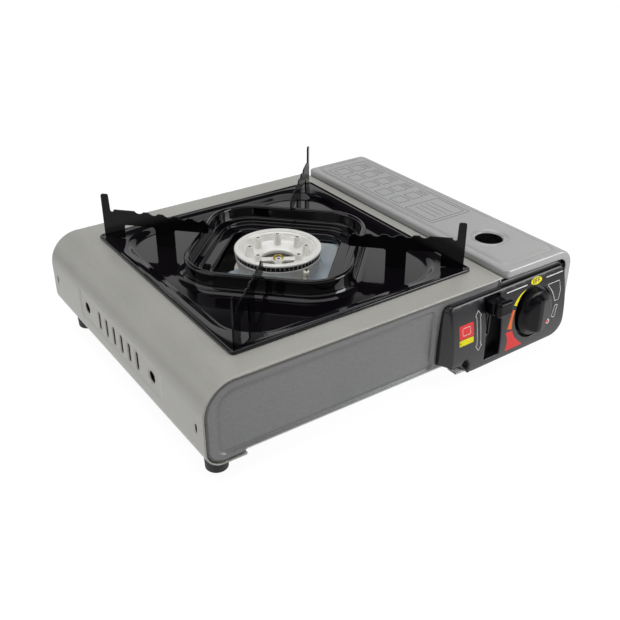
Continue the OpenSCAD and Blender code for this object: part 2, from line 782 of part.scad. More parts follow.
module foot_screws() {
  color(steel) at_casing() for (sx = [-1, 1], sy = [-1, 1])
    translate([sx * (casing_w / 2 - foot_inset_x), sy * (casing_d / 2 - foot_inset_y), 0]) {
      translate([0, 0, 6.5]) cylinder(r = 4, h = 2.5);
      translate([0, 0, 8]) cylinder(r = foot_screw_r, h = bottom_z + 2 * sheet_t - 8 + 1.5);
    }
}

// ---------------------------------------------------------------- drip pan

// A thin plate used to build the sloping walls of the pan
module pan_plate(half_w, half_d, r, z) {
  translate([0, 0, z]) linear_extrude(eps) round_rect(2 * half_w, 2 * half_d, r);
}

// The solid under the slope; drop moves it down by the pan's thickness
module slope_solid(drop) {
  hw = pan_w / 2 - hem_w - shelf_w;
  hd = pan_d / 2 - hem_w - shelf_w;
  hull() {
    pan_plate(hw, hd, shelf_r, shelf_z - drop, $fn = 32);
    pan_plate(hw - slope_run, hd - slope_run, slope_r, floor_z - drop, $fn = 32);
  }
}

// The solid under the flare at the collar's foot; it starts inside the floor's thickness
module flare_solid(drop) {
  half = collar_half + skirt_run;
  low_z = floor_z - pan_t / 2;
  hull() {
    rotate([0, 0, 45]) pan_plate(half, half, collar_r + skirt_run, low_z - drop, $fn = 32);
    rotate([0, 0, 45])
      pan_plate(collar_half - 0.2, collar_half - 0.2, collar_r, floor_z + skirt_rise - drop, $fn = 32);
  }
}

module drip_pan() {
  in_half = collar_half - rim_w;
  foot_half = collar_half + skirt_run - 1;    // the floor ends just inside the flare's edge
  wall_z0 = floor_z + skirt_rise - 1.8 * pan_t;
  color(enamel) at_burner() {
    // hem and shelf
    translate([0, 0, top_z]) linear_extrude(hem_h) difference() {
      round_rect(pan_w, pan_d, 4);
      round_rect(pan_w - 2 * hem_w, pan_d - 2 * hem_w, 3);
    }
    translate([0, 0, shelf_z - pan_t]) linear_extrude(pan_t) difference() {
      round_rect(pan_w - hem_w, pan_d - hem_w, 3);
      round_rect(pan_w - 2 * (hem_w + shelf_w), pan_d - 2 * (hem_w + shelf_w), shelf_r);
    }
    // sloping wall and floor, opened inside the collar
    difference() {
      slope_solid(pan_t);
      slope_solid(0);
      translate([0, 0, floor_z - 2 * pan_t]) rotate([0, 0, 45]) linear_extrude(3 * pan_t)
        round_rect(2 * foot_half, 2 * foot_half, collar_r + skirt_run - 1);
    }
    // collar: outer wall, rim, inner wall
    rotate([0, 0, 45]) {
      translate([0, 0, wall_z0]) linear_extrude(rim_z - wall_z0) square_ring(collar_half, collar_r, pan_t);
      translate([0, 0, rim_z - pan_t]) linear_extrude(pan_t) square_ring(collar_half, collar_r, rim_w);
      translate([0, 0, bowl_z - pan_t]) linear_extrude(rim_z - bowl_z + pan_t)
        square_ring(in_half + pan_t, collar_r - rim_w + pan_t, pan_t);
      // bowl floor and turned-down edge
      translate([0, 0, bowl_z - pan_t]) linear_extrude(pan_t) difference() {
        round_rect(2 * in_half + pan_t, 2 * in_half + pan_t, collar_r - rim_w);
        round_rect(2 * burner_gap_half, 2 * burner_gap_half, burner_gap_r);
      }
      translate([0, 0, bowl_z - edge_drop]) linear_extrude(edge_drop)
        square_ring(burner_gap_half + pan_t, burner_gap_r + pan_t, pan_t);
    }
    // the flare at its foot
    difference() {
      flare_solid(0);
      flare_solid(1.1 * pan_t);
      translate([0, 0, floor_z - 2 * pan_t]) rotate([0, 0, 45]) linear_extrude(skirt_rise + 3 * pan_t)
        round_rect(2 * collar_half - pan_t, 2 * collar_half - pan_t, collar_r - pan_t / 2);
    }
  }
}

// One support's outline: s runs out from the burner's axis, z is height
module support_outline() {
  tip_z = fin_z - wave_fall;
  difference() {
    polygon([
      [fin_tip, rib_z - 1], [fin_tip, tip_z - 4], [fin_tip + 3, tip_z], [level_s0, fin_z],
      [level_s1, fin_z], [level_s1 + 1, fin_z - 2], [fin_out - horn_w, fin_z - 2],
      [fin_out - horn_w + 0.5, fin_z + horn_h - 1.5], [fin_out - horn_w + 2, fin_z + horn_h],
      [fin_out - 1, fin_z + horn_h], [fin_out, fin_z + horn_h - 1], [fin_out, shelf_z],
      [fin_out - outer_leg_w, shelf_z], [fin_out - outer_leg_w, rib_z],
      [mid_leg_s + mid_leg_w, rib_z], [mid_leg_s + mid_leg_w, floor_z], [mid_leg_s, floor_z],
      [mid_leg_s, rib_z - 1], [collar_half - 1, rib_z - 1], [collar_half - 1, rim_z],
      [fin_tip + 3, rim_z]
    ]);
    for (i = [0 : wave_n - 1]) {
      s = level_s0 - 3 - i * wave_pitch;
      z = tip_z + (fin_z - tip_z) * (s - fin_tip) / (level_s0 - fin_tip);
      translate([s, z + 5 - wave_depth]) circle(5);
    }
  }
}

module support(angle) {
  color(enamel) at_burner() rotate([0, 0, angle])
    translate([0, fin_t / 2, 0]) rotate([90, 0, 0]) linear_extrude(fin_t) support_outline();
}

module support_front_left() { support(180 + fin_angle); }
module support_front_right() { support(-fin_angle); }
module support_rear_left() { support(180 - fin_angle); }
module support_rear_right() { support(fin_angle); }

// ---------------------------------------------------------------- burner

// A round bar along the mixing tube's axis, between two distances from the burner's axis
module tube_at(s0, s1, r) {
  translate([pan_x, pan_y, tube_z]) rotate([0, 0, tube_angle]) translate([s0, 0, 0])
    rotate([0, 90, 0]) cylinder(r = r, h = s1 - s0);
}

module burner_bracket() {
  half = 30;
  depth = 24;
  t = 1.2;
  foot_len = 9;
  color(steel) at_burner() difference() {
    union() {
      block([-half, -depth / 2, chamber_z0 - t], [half, depth / 2, chamber_z0]);
      for (s = [-1, 1]) {
        block([s * (half - t / 2) - t / 2, -depth / 2, base_top_z],
              [s * (half - t / 2) + t / 2, depth / 2, chamber_z0]);
        block([s * (half + foot_len / 2) - foot_len / 2 - t / 2, -depth / 2, base_top_z],
              [s * (half + foot_len / 2) + foot_len / 2, depth / 2, base_top_z + t]);
      }
    }
    for (s = [-1, 1]) translate([s * 10, 0, chamber_z0 - t - cut]) cylinder(r = 2.05, h = t + 2 * cut);
  }
}

module burner_base() {
  skirt_z = seat_z - 3;
  color(cast_alu) at_casing() difference() {
    union() {
      translate([pan_x, pan_y, 0]) rotate_extrude() polygon([
        [0, chamber_z0], [chamber_r, chamber_z0], [chamber_r, skirt_z - 9], [seat_r - 3, seat_z],
        [seat_r, seat_z], [seat_r, plate_z], [seat_r - 4.6, plate_z], [ring_in_r + 2, port_z0],
        [ring_in_r, port_z0], [seat_r - 4.6 - cast_wall, plate_z], [chamber_r - cast_wall, skirt_z - 7],
        [chamber_r - cast_wall, chamber_z0 + chamber_floor], [0, chamber_z0 + chamber_floor]
      ]);
      tube_at(chamber_r - cast_wall - 1, chamber_r + 7, tube_r + 2.2);
    }
    tube_at(chamber_r - cast_wall - 4, chamber_r + 8, tube_r + run_clear);
    for (s = [-1, 1])
      translate([pan_x + s * 10, pan_y, chamber_z0 - cut]) cylinder(r = 2.05, h = chamber_floor + 2 * cut);
  }
}

module burner_screws() {
  color(steel) at_burner() for (s = [-1, 1]) translate([s * 10, 0, 0]) {
    translate([0, 0, chamber_z0 - 3.7]) cylinder(r = 3.6, h = 2.5);
    translate([0, 0, chamber_z0 - 2]) cylinder(r = 2, h = chamber_floor + 2);
  }
}

module flame_ring() {
  ring_out_r = head_r - 1;
  color([0.25, 0.24, 0.23]) at_burner() difference() {
    translate([0, 0, port_z0]) cylinder(r = ring_out_r, h = port_ring_h);
    translate([0, 0, port_z0 - cut]) cylinder(r = ring_in_r, h = port_ring_h + 2 * cut);
    for (i = [0 : port_n - 1])
      rotate([0, 0, i * 360 / port_n])
        translate([ring_out_r - 1.4, -0.55, port_z0 + 1]) cube([3, 1.1, port_ring_h - 1 + cut]);
  }
}

module burner_head() {
  dish_r = head_r - 5;
  bar_w = 5;
  peg_z0 = rim_top_z - 7.3;
  color(cast_alu) at_burner() difference() {
    union() {
      rotate_extrude() polygon([
        [head_r, port_z1], [head_r, rim_top_z - 0.7], [head_r - 0.7, rim_top_z],
        [dish_r + 0.6, rim_top_z], [dish_r, rim_top_z - 0.8], [well_r + 2.4, well_z + 1.8],
        [well_r, well_z], [well_r, well_z - 2.6], [well_r + 2, well_z - 2.6],
        [well_r + 3.6, well_z - 1.4], [dish_r - 0.4, port_z1 - 2.4], [dish_r, port_z1]
      ]);
      for (i = [0 : peg_n - 1])
        rotate([0, 0, bar_angle + i * 360 / peg_n]) translate([peg_circle_r, 0, peg_z0])
          cylinder(r = peg_r, h = rim_top_z + peg_rise - peg_z0);
      rotate([0, 0, bar_angle]) translate([0, 0, bar_z1 - bar_t / 2])
        cube([2 * well_r + 1.4, bar_w, bar_t], center = true);
      translate([0, 0, bar_z1 - bar_t]) cylinder(r = 5.5, h = bar_t);
    }
    for (i = [0 : peg_n - 1])
      rotate([0, 0, bar_angle + i * 360 / peg_n])
        translate([peg_circle_r, 0, rim_top_z + peg_rise - 3]) cylinder(r = 0.8, h = 3 + cut);
  }
}

module burner_jet() {
  color(brass) at_burner() translate([0, 0, bar_z1]) difference() {
    union() {
      cylinder(r = 4.4, h = 1.2);
      cylinder(r = 3.4, h = 2.6);
    }
    for (s = [-1, 1]) translate([0, s * 1.7, 0.8]) cylinder(r = 0.7, h = 3);
  }
}

module mixing_tube() {
  color(steel) at_casing() difference() {
    union() {
      tube_at(chamber_r - cast_wall - 0.5, tube_len, tube_r);
      tube_at(tube_len - 5, tube_len, tube_r + 2);
    }
    tube_at(0, tube_len + cut, tube_r - tube_wall);
  }
}

module injector() {
  color(brass) at_casing() difference() {
    union() {
      tube_at(tube_len + mouth_gap, tube_len + mouth_gap + 4, inj_r - 1.6);
      tube_at(tube_len + mouth_gap + 4 - eps, tube_run + 3, inj_r);
    }
    tube_at(tube_len + mouth_gap - cut, tube_run + 2, 0.6);
  }
}

// A plate that catches the burner's heat and leads it to the bay's wall
module heat_plate() {
  x0 = -seat_r - 3;
  x1 = bay_in_x0 - sheet_t - pan_x;
  y0 = -seat_r - 6;
  y1 = 14;
  color(steel) at_burner() difference() {
    union() {
      block([x0, y0, plate_z], [x1, y1, plate_z + heat_plate_t]);
      block([x1 - heat_plate_t, y0 + 8, plate_z - 14], [x1, y1, plate_z + heat_plate_t]);
      // the raised flap beside the burner
      rotate([0, 0, flap_angle]) translate([flap_s, -flap_reach - flap_w / 2, plate_z])
        rotate([0, -flap_rise, 0]) cube([burner_gap_half - 2 - flap_s, flap_w, heat_plate_t]);
    }
    translate([0, 0, plate_z - cut]) cylinder(r = seat_r - 4.4, h = heat_plate_t + 2 * cut);
    translate([0, 0, plate_z + heat_plate_t]) cylinder(r = seat_r + 0.3, h = 8);
    rotate([0, 0, electrode_angle]) translate([electrode_s, 0, plate_z - cut])
      cylinder(r = insulator_r + run_clear, h = heat_plate_t + 2 * cut);
  }
}

module electrode_insulator() {
  flange_r = insulator_r + 1.4;
  bore_r = 0.85;
  color([0.92, 0.91, 0.88]) at_burner() rotate([0, 0, electrode_angle]) translate([electrode_s, 0, 0])
    difference() {
      union() {
        translate([0, 0, insulator_z0]) cylinder(r = insulator_r, h = insulator_z1 - insulator_z0);
        intersection() {
          translate([0, 0, plate_z + heat_plate_t]) cylinder(r = flange_r, h = 1.6);
          translate([insulator_r - flange_r, -flange_r, plate_z]) cube([2 * flange_r, 2 * flange_r, 4]);
        }
      }
      translate([0, 0, insulator_z0 - cut]) cylinder(r = bore_r, h = insulator_z1 - insulator_z0 + 2 * cut);
    }
}

module electrode_pin() {
  color(steel) at_burner() rotate([0, 0, electrode_angle]) translate([electrode_s, 0, 0])
    translate([0, 0, insulator_z0 - 1]) cylinder(r = 0.8, h = insulator_z1 - insulator_z0 + 2.6);
}

// ---------------------------------------------------------------- regulator and ignition

function bracket_screw_places() = [
  [reg_x0 + screw_inset, reg_z0 + screw_inset],
  [reg_x1 - screw_inset, reg_z0 + screw_inset],
  [reg_x0 + screw_inset, reg_z1 - screw_inset]
];

// Where the diaphragm cover's screws stand
function cover_screw_places() = [
  for (a = [30, 150, 270]) [cover_y + cover_screw_r * cos(a), cover_z + cover_screw_r * sin(a)]
];

module regulator_body() {
  color([0.62, 0.63, 0.65]) at_casing() difference() {
    union() {
      block([reg_x0, reg_y0, reg_z0], [reg_x1, bracket_y, reg_z1]);
      rod_y(cartridge_x, cartridge_z, bracket_y - 2, port_y, port_r);
      rod_y(knob_x, knob_z, reg_y0 - 1.5, reg_y0 + 2, 7);
      // the saddle that holds the igniter
      block([igniter_x - igniter_r - 2, reg_y0 + 6, igniter_z],
            [igniter_x + igniter_r + 2, reg_y0 + 16, reg_z0 + eps]);
    }
    rod_y(cartridge_x, cartridge_z, port_y - port_bore_len, port_y + cut, port_bore_r);
    rod_y(cartridge_x, cartridge_z, port_y - port_bore_len - seal_t, port_y, seal_r);
    rod_y(cartridge_x, cartridge_z, port_y - port_bore_len - seal_t - 8, port_y, 1.5);
    rod_y(knob_x, knob_z, reg_y0 - 2 - cut, reg_y0 + 10, spindle_r + run_clear);
    rod_y(igniter_x, igniter_z, reg_y0 + 5, reg_y0 + 17, igniter_r + run_clear);
    tube_at(tube_run - 8, tube_run + 4, inj_r + run_clear);
    for (p = bracket_screw_places()) rod_y(p[0], p[1], bracket_y - 6, bracket_y + cut, 1.55);
    for (p = cover_screw_places()) rod_x(p[0], p[1], reg_x1 - 5, reg_x1 + cut, 1.25);
  }
}

module regulator_cover() {
  color([0.7, 0.71, 0.73]) at_casing() difference() {
    union() {
      rod_x(cover_y, cover_z, reg_x1, reg_x1 + cover_flange_t, cover_r);
      rod_x(cover_y, cover_z, reg_x1 + cover_flange_t - eps, reg_x1 + cover_t, cover_r - 6);
    }
    for (p = cover_screw_places())
      rod_x(p[0], p[1], reg_x1 - cut, reg_x1 + cover_flange_t + cut, 1.25);
  }
}

module regulator_screws() {
  color(steel) at_casing() {
    for (p = bracket_screw_places()) {
      rod_y(p[0], p[1], bracket_y - 5, bracket_y + sheet_t, 1.5);
      rod_y(p[0], p[1], bracket_y + sheet_t, bracket_y + sheet_t + 2, 2.8);
    }
    for (p = cover_screw_places()) {
      rod_x(p[0], p[1], reg_x1 - 4.5, reg_x1 + cover_flange_t, 1.2);
      rod_x(p[0], p[1], reg_x1 + cover_flange_t, reg_x1 + cover_flange_t + 1.6, 2.2);
    }
  }
}

module port_seal() {
  color(rubber) at_casing() difference() {
    rod_y(cartridge_x, cartridge_z, port_y - port_bore_len - seal_t, port_y - port_bore_len, seal_r);
    rod_y(cartridge_x, cartridge_z, port_y - port_bore_len - seal_t - cut, port_y, 2);
  }
}

module piezo_igniter() {
  color([0.2, 0.2, 0.22]) at_casing() {
    rod_y(igniter_x, igniter_z, reg_y0 + 1, bracket_y - 6, igniter_r);
    rod_y(igniter_x, igniter_z, cam_y0 + cam_bar_t + 0.4, reg_y0 + 1 + eps, 2);
  }
}

// A straight piece of the lead between two points that differ along one axis only
module lead_piece(a, b) {
  low = [min(a[0], b[0]), min(a[1], b[1]), min(a[2], b[2])];
  run = norm(b - a);
  turn = a[0] != b[0] ? [0, 90, 0] : a[1] != b[1] ? [-90, 0, 0] : [0, 0, 0];
  translate(low) rotate(turn) cylinder(r = lead_r, h = run);
}

module ignition_lead() {
  color([0.85, 0.85, 0.8]) at_casing() {
    for (i = [0 : len(lead_points) - 2]) lead_piece(lead_points[i], lead_points[i + 1]);
    for (i = [1 : len(lead_points) - 2]) translate(lead_points[i]) sphere(lead_r + 0.2);
  }
}

// ---------------------------------------------------------------- control panel

function panel_screw_places() = [
  [panel_x0 + 14, panel_low_z + panel_step_h + 9.5], [panel_x0 + 14, panel_top_z - 12],
  [knob_x - 29, panel_low_z + 11.5], [panel_x1 - 7, panel_low_z + 14.5]
];

// The lever's slot, as a cutting block
module lever_slot(y0, y1) {
  slot_half = shank_w / 2 + move_gap + 0.2;
  block([lever_cx - slot_half, y0, shank_z - shank_h / 2 - lever_travel - 1],
        [lever_cx + slot_half, y1, shank_z + shank_h / 2 + 1]);
}

// The panel's outline in X and Z with its stepped lower left corner, shrunk by a wall
module panel_outline(inset) {
  x0 = panel_x0 + inset;
  x1 = panel_x1 - inset;
  z0 = panel_low_z + inset;
  z1 = panel_top_z - inset;
  r = panel_corner_r - inset;
  rt = panel_top_r - inset;
  difference() {
    union() {
      translate([x0, z0]) square([x1 - r - x0, z1 - z0]);
      translate([x0, z0 + r]) square([x1 - x0, z1 - rt - z0 - r]);
      translate([x1 - r - eps, z1 - rt - eps]) square([r - rt + eps, rt + eps]);
      translate([x1 - r, z0 + r]) circle(r);
      translate([x1 - rt, z1 - rt]) circle(rt);
    }
    translate([x0 - cut, z0 - cut]) square([panel_step_w + cut, panel_step_h + cut]);
  }
}

// The panel's body as a solid, shrunk by a wall all round
module panel_solid(inset) {
  intersection() {
    along_y(panel_front_y - cut, panel_face_y + inset) panel_outline(inset);
    // the curved face, swept back towards the right end
    translate([panel_x0, panel_front_y, panel_mid_z]) rotate([0, 0, atan(panel_sweep / panel_w)])
      translate([-panel_out, panel_face_r, 0]) rotate([0, 90, 0])
        cylinder(r = panel_face_r - inset, h = panel_w + 2 * panel_out, $fn = 128);
    // the left end leans in towards the front
    translate([panel_x0 + inset, panel_face_y, 0])
      rotate([0, 0, -atan(panel_draft / panel_out)]) translate([0, -60, -cut]) cube([200, 120, 120]);
  }
}

module control_panel() {
  face_y = panel_front_y - cut;
  trough = [trough_w / 2, trough_w / 2 + panel_wall];
  color(black_plastic) at_casing() difference() {
    union() {
      difference() {
        panel_solid(0);
        panel_solid(panel_wall);
      }
      intersection() {
        panel_solid(0);
        union() {
          // the knob's well, the lever's trough and the screw bosses
          rod_y(knob_x, knob_z, face_y, well_floor_y + panel_wall, well_wall_r + panel_wall);
          block([lever_cx - trough[1], face_y, trough_z0 - panel_wall],
                [lever_cx + trough[1], trough_floor_y + panel_wall - 0.5, trough_z1 + panel_wall]);
          for (p = panel_screw_places()) rod_y(p[0], p[1], face_y, panel_face_y, 3.6);
        }
      }
    }
    rod_y(knob_x, knob_z, face_y - cut, well_floor_y, well_wall_r);
    rod_y(knob_x, knob_z, well_floor_y - cut, panel_face_y + cut, spindle_r + 1);
    block([lever_cx - trough[0], face_y - cut, trough_z0], [lever_cx + trough[0], trough_floor_y, trough_z1]);
    lever_slot(trough_floor_y - cut, panel_face_y + cut);
    for (p = panel_screw_places()) rod_y(p[0], p[1], panel_face_y - 6, panel_face_y + cut, 1.35);
    // a half-round finger notch over the step
    rod_y(panel_x0 + panel_step_w - 4, panel_low_z + panel_step_h, face_y - cut, panel_front_y + 7, 3);
  }
}

module panel_screws() {
  color(steel) at_casing() for (p = panel_screw_places()) {
    rod_y(p[0], p[1], panel_face_y - 5, panel_in_y + eps, 1.3);
    rod_y(p[0], p[1], panel_in_y, panel_in_y + 1.8, 2.6);
  }
}

module control_knob() {
  back_y = well_floor_y - move_gap;
  bar_half = knob_r - 1.8;
  color(black_plastic) at_casing() difference() {
    union() {
      rod_y(knob_x, knob_z, knob_face_y, back_y, knob_r);
      intersection() {
        rod_y(knob_x, knob_z, knob_face_y - grip_h, back_y, bar_half);
        translate([knob_x, 0, knob_z - knob_r]) linear_extrude(2 * knob_r) polygon([
          [-grip_w / 2, knob_face_y - grip_h], [grip_w / 2, knob_face_y - grip_h],
          [grip_w / 2 + 2.5, knob_face_y - 0.42 * grip_h], [grip_w / 2 + 6.5, knob_face_y - 0.08 * grip_h],
          [grip_w / 2 + 8, knob_face_y + eps], [-grip_w / 2 - 8, knob_face_y + eps],
          [-grip_w / 2 - 6.5, knob_face_y - 0.08 * grip_h], [-grip_w / 2 - 2.5, knob_face_y - 0.42 * grip_h]
        ]);
      }
    }
    rod_y(knob_x, knob_z, knob_face_y + 2.2, back_y + cut, spindle_r);
    // the marker dimple
    rod_y(knob_x + 13.2, knob_z - 10.8, knob_face_y - cut, knob_face_y + 0.4, 1.8);
  }
}

module valve_spindle() {
  color(steel) at_casing() rod_y(knob_x, knob_z, knob_face_y + 2.2, reg_y0 + 9.5, spindle_r);
}

// A finger on the spindle that swings across the igniter's plunger
module igniter_cam() {
  reach_r = norm([igniter_x - knob_x, igniter_z - knob_z]) + 1;
  color([0.85, 0.84, 0.8]) at_casing() difference() {
    union() {
      rod_y(knob_x, knob_z, cam_y0, cam_y0 + cam_bar_t, 7.5);
      translate([knob_x - reach_r, cam_y0, knob_z - 3]) cube([reach_r - 5, cam_bar_t, 6]);
    }
    rod_y(knob_x, knob_z, cam_y0 - cut, cam_y0 + cam_bar_t + cut, spindle_r);
  }
}

// ---------------------------------------------------------------- lock lever and slide

module lock_lever() {
  neck_w = trough_w - 2 * move_gap - 1;
  color(black_plastic) at_casing() {
    block([lever_cx - thumb_w / 2, front_y - thumb_out, thumb_z0],
          [lever_cx + thumb_w / 2, panel_front_y - 1.4, thumb_z1]);
    block([lever_cx - neck_w / 2, panel_front_y - 1.4 - eps, thumb_z0],
          [lever_cx + neck_w / 2, trough_floor_y - move_gap, thumb_z1]);
    block([lever_cx - shank_w / 2, trough_floor_y - move_gap - eps, shank_z - shank_h / 2],
          [lever_cx + shank_w / 2, drive_y - 1, shank_z + shank_h / 2]);
    block([lever_cx - shank_w / 2, drive_y - 5, shank_z - shank_h / 2],
          [cam_x1 - cam_t, drive_y - 1, shank_z + shank_h / 2]);
  }
}

// A plate with a slanting slot that turns the lever's stroke into the slide's
module cam_plate() {
  slot_r = drive_pin_r + run_clear;
  slot_len = norm([slide_travel, lever_travel]);
  slot_lean = atan(slide_travel / lever_travel);
  color(steel) at_casing() translate([cam_x1 - cam_t, 0, 0]) rotate([90, 0, 90]) linear_extrude(cam_t)
    difference() {
      translate([drive_y - slide_travel - cam_edge, cam_z0])
        square([slide_travel + 2 * cam_edge, cam_z1 - cam_z0]);
      translate([drive_y, drive_z]) rotate(slot_lean) {
        circle(slot_r);
        translate([-slot_r, 0]) square([2 * slot_r, slot_len]);
        translate([0, slot_len]) circle(slot_r);
      }
    }
}

// The slide that carries the cartridge to its port
module cartridge_slide() {
  bar_x0 = bay_in_x0 + slide_gap;
  bar_x1 = bar_x0 + 2;
  stop_y = port_y + cartridge_len + slide_travel;
  rest_y1 = stop_y + slide_t;
  side = 20;                                  // kept clear of the feet's screws
  z0 = bay_floor_z + slide_gap;
  color(steel) at_casing() {
    block([bar_x0, drive_y - 6, slide_bar_z0], [bar_x1, rest_y1, slide_bar_z1]);
    block([bar_x0, drive_y - 6, slide_bar_z0], [bar_x1, drive_y + 6, drive_z + cam_edge]);
    rod_x(drive_y, drive_z, cam_x1 - cam_t + 0.3, bar_x1, drive_pin_r);
    // rear crosspiece, two rails and the stop behind the cartridge
    block([bar_x0, rest_y1 - 12, z0], [cartridge_x + side, rest_y1, z0 + slide_t]);
    block([bar_x0, rest_y1 - 12, z0], [bar_x1, rest_y1, slide_bar_z1]);
    for (s = [-1, 1])
      block([cartridge_x + s * 16 - 4, rest_y1 - 70, z0], [cartridge_x + s * 16 + 4, rest_y1, z0 + slide_t]);
    block([cartridge_x - side, stop_y, z0], [cartridge_x + side, rest_y1, z0 + 34]);
  }
}

// ---------------------------------------------------------------- lid

// The lid's section in X and Z, shrunk by a wall
module lid_section(inset) {
  x0 = lid_x0 + inset;
  x1 = right_x - inset;
  z1 = lid_top_z - emboss_t - inset;
  r = lid_bend_r - inset;
  translate([x1 - r, z1 - r]) circle(r);
  translate([x0, lid_skirt_z]) square([x1 - r - x0, z1 - lid_skirt_z]);
  translate([x0, lid_skirt_z]) square([x1 - x0, z1 - r - lid_skirt_z]);
}

module lid_field(z, t) {
  x0 = lid_x0 + 7;
  x1 = right_x - lid_bend_r;
  y0 = lid_y0 + 8;
  y1 = lid_y1 - 8;
  translate([(x0 + x1) / 2, (y0 + y1) / 2, z]) linear_extrude(t) round_rect(x1 - x0, y1 - y0, 6);
}

module cartridge_lid() {
  z1 = lid_top_z - emboss_t;
  hole = [lid_x0 + lid_hole_x, front_y + lid_hole_y];
  color([0.7, 0.7, 0.68]) at_casing() difference() {
    union() {
      difference() {
        along_y(lid_y0, lid_y1) lid_section(0);
        along_y(lid_y0 + sheet_t, lid_y1 - sheet_t) lid_section(sheet_t);
        // open below the left, front and rear flanges
        block([lid_x0 - cut, lid_y0 - cut, lid_skirt_z - cut],
              [right_x - lid_bend_r, lid_y1 + cut, z1 - lid_flange_h]);
        along_y(lid_y0 - cut, lid_y1 + cut) intersection() {
          lid_section(sheet_t);
          translate([lid_x0, lid_skirt_z - cut]) square([casing_w, z1 - lid_flange_h - lid_skirt_z + cut]);
        }
      }
      lid_field(z1 - eps, emboss_t + eps);
      for (y = hinge_ys) {
        along_y(y - barrel_len / 2, y + barrel_len / 2) polygon([
          [right_x, lid_skirt_z + 1], [right_x - sheet_t, lid_skirt_z + 1],
          [hinge_x - 1.5, hinge_z + barrel_r - 0.5], [hinge_x + barrel_r - 0.2, hinge_z - 0.5],
          [right_x, lid_skirt_z - 4]
        ]);
        rod_y(hinge_x, hinge_z, y - barrel_len / 2, y + barrel_len / 2, barrel_r);
      }
    }
    lid_field(z1 - sheet_t - cut, cut + emboss_t);
    translate([hole[0], hole[1], z1 - sheet_t - cut]) cylinder(r = lid_hole_r, h = 5);
    for (y = hinge_ys)
      rod_y(hinge_x, hinge_z, y - barrel_len / 2 - cut, y + barrel_len / 2 + cut, pin_r + run_clear);
  }
}

module hinge_pins() {
  color(steel) at_casing() for (y = hinge_ys)
    rod_y(hinge_x, hinge_z, y - barrel_len / 2 - move_gap - ear_t - 0.8,
          y + barrel_len / 2 + move_gap + ear_t + 0.8, pin_r);
}

top_cover();
front_panel();
rear_panel();
base_plate();
cartridge_bay();
regulator_bracket();
foot_front_left();
foot_front_right();
foot_rear_left();
foot_rear_right();
foot_screws();
control_panel();
panel_screws();
burner_bracket();
burner_base();
burner_screws();
flame_ring();
burner_head();
burner_jet();
mixing_tube();
injector();
heat_plate();
electrode_insulator();
electrode_pin();
regulator_body();
regulator_cover();
regulator_screws();
port_seal();
piezo_igniter();
ignition_lead();
hinge_pins();
cartridge_lid();
control_knob();
valve_spindle();
igniter_cam();
lock_lever();
cam_plate();
cartridge_slide();
drip_pan();
support_front_left();
support_front_right();
support_rear_left();
support_rear_right();
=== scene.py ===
"""A portable cassette stove: its surfaces, finishes and studio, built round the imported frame.

Sizes are millimetres from the middle of the casing, with the front towards -Y. Each
sub-assembly is a class that holds its sizes, builds its meshes and dresses them.
"""
import logging
import math
from collections.abc import Callable, Sequence
from dataclasses import dataclass
from enum import Enum

import bmesh
import bpy
import numpy as np
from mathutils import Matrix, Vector
from mathutils.geometry import delaunay_2d_cdt


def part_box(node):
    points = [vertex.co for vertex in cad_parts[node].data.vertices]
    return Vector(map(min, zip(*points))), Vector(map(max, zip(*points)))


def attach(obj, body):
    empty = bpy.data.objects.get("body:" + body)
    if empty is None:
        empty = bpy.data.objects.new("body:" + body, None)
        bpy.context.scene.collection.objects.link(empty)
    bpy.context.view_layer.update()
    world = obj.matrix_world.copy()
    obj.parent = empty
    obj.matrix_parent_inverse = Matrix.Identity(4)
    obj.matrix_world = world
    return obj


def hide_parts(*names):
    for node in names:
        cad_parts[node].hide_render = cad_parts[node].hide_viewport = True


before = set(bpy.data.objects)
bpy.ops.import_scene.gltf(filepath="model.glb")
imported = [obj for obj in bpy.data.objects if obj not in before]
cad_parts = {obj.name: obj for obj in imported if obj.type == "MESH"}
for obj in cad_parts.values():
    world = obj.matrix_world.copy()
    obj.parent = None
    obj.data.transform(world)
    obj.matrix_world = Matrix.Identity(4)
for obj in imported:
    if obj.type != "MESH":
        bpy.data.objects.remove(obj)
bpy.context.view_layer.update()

Array = np.ndarray
Surface = tuple[Array, Array]  # points and faces
Socket = bpy.types.NodeSocket

MM = 0.001
QUARTER = math.pi / 2
MID_Y = float(sum(corner[1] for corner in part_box("top_cover"))) / 2 / MM
BURNER_X, BURNER_Y = -27.75, -2.0
KNOB_AT = (125.5, 47.0)  # its axis in X and Z

log = logging.getLogger("stove")


# ---------------------------------------------------------------- plane geometry


def ease(value: Array | float) -> Array:
    """Returns 0 below 0, 1 above 1, and the smooth step 3v^2 - 2v^3 between."""
    held = np.clip(value, 0.0, 1.0)
    return held * held * (3.0 - 2.0 * held)


def quarter_round(value: Array) -> Array:
    """Returns the fall of a quarter round, 1 - sqrt(1 - v^2), with v held between 0 and 1."""
    return 1.0 - np.sqrt(1.0 - np.clip(value, 0.0, 1.0) ** 2)


def spaced(start: float, stop: float, step: float) -> Array:
    """Returns even steps from start to stop, both ends in, no longer than step."""
    return np.linspace(start, stop, max(2, math.ceil(abs(stop - start) / step) + 1))


def stations(*marks: float) -> Array:
    """Returns stations along a line from a mark, a step, the next mark, its step, and so on."""
    return np.unique(np.concatenate([spaced(marks[k], marks[k + 2], marks[k + 1])
                                     for k in range(0, len(marks) - 2, 2)]))


def angles(count: int) -> Array:
    """Returns even angles round a circle."""
    return np.linspace(0, 2 * math.pi, count, endpoint=False)


def ray(turn: Array | float) -> Array:
    """Returns the unit vector at each angle."""
    return np.stack([np.cos(turn), np.sin(turn)], -1)


def circle(x: float, y: float, radius: float, count: int = 48) -> Array:
    """Returns points round a circle."""
    return np.array([x, y]) + radius * ray(angles(count))


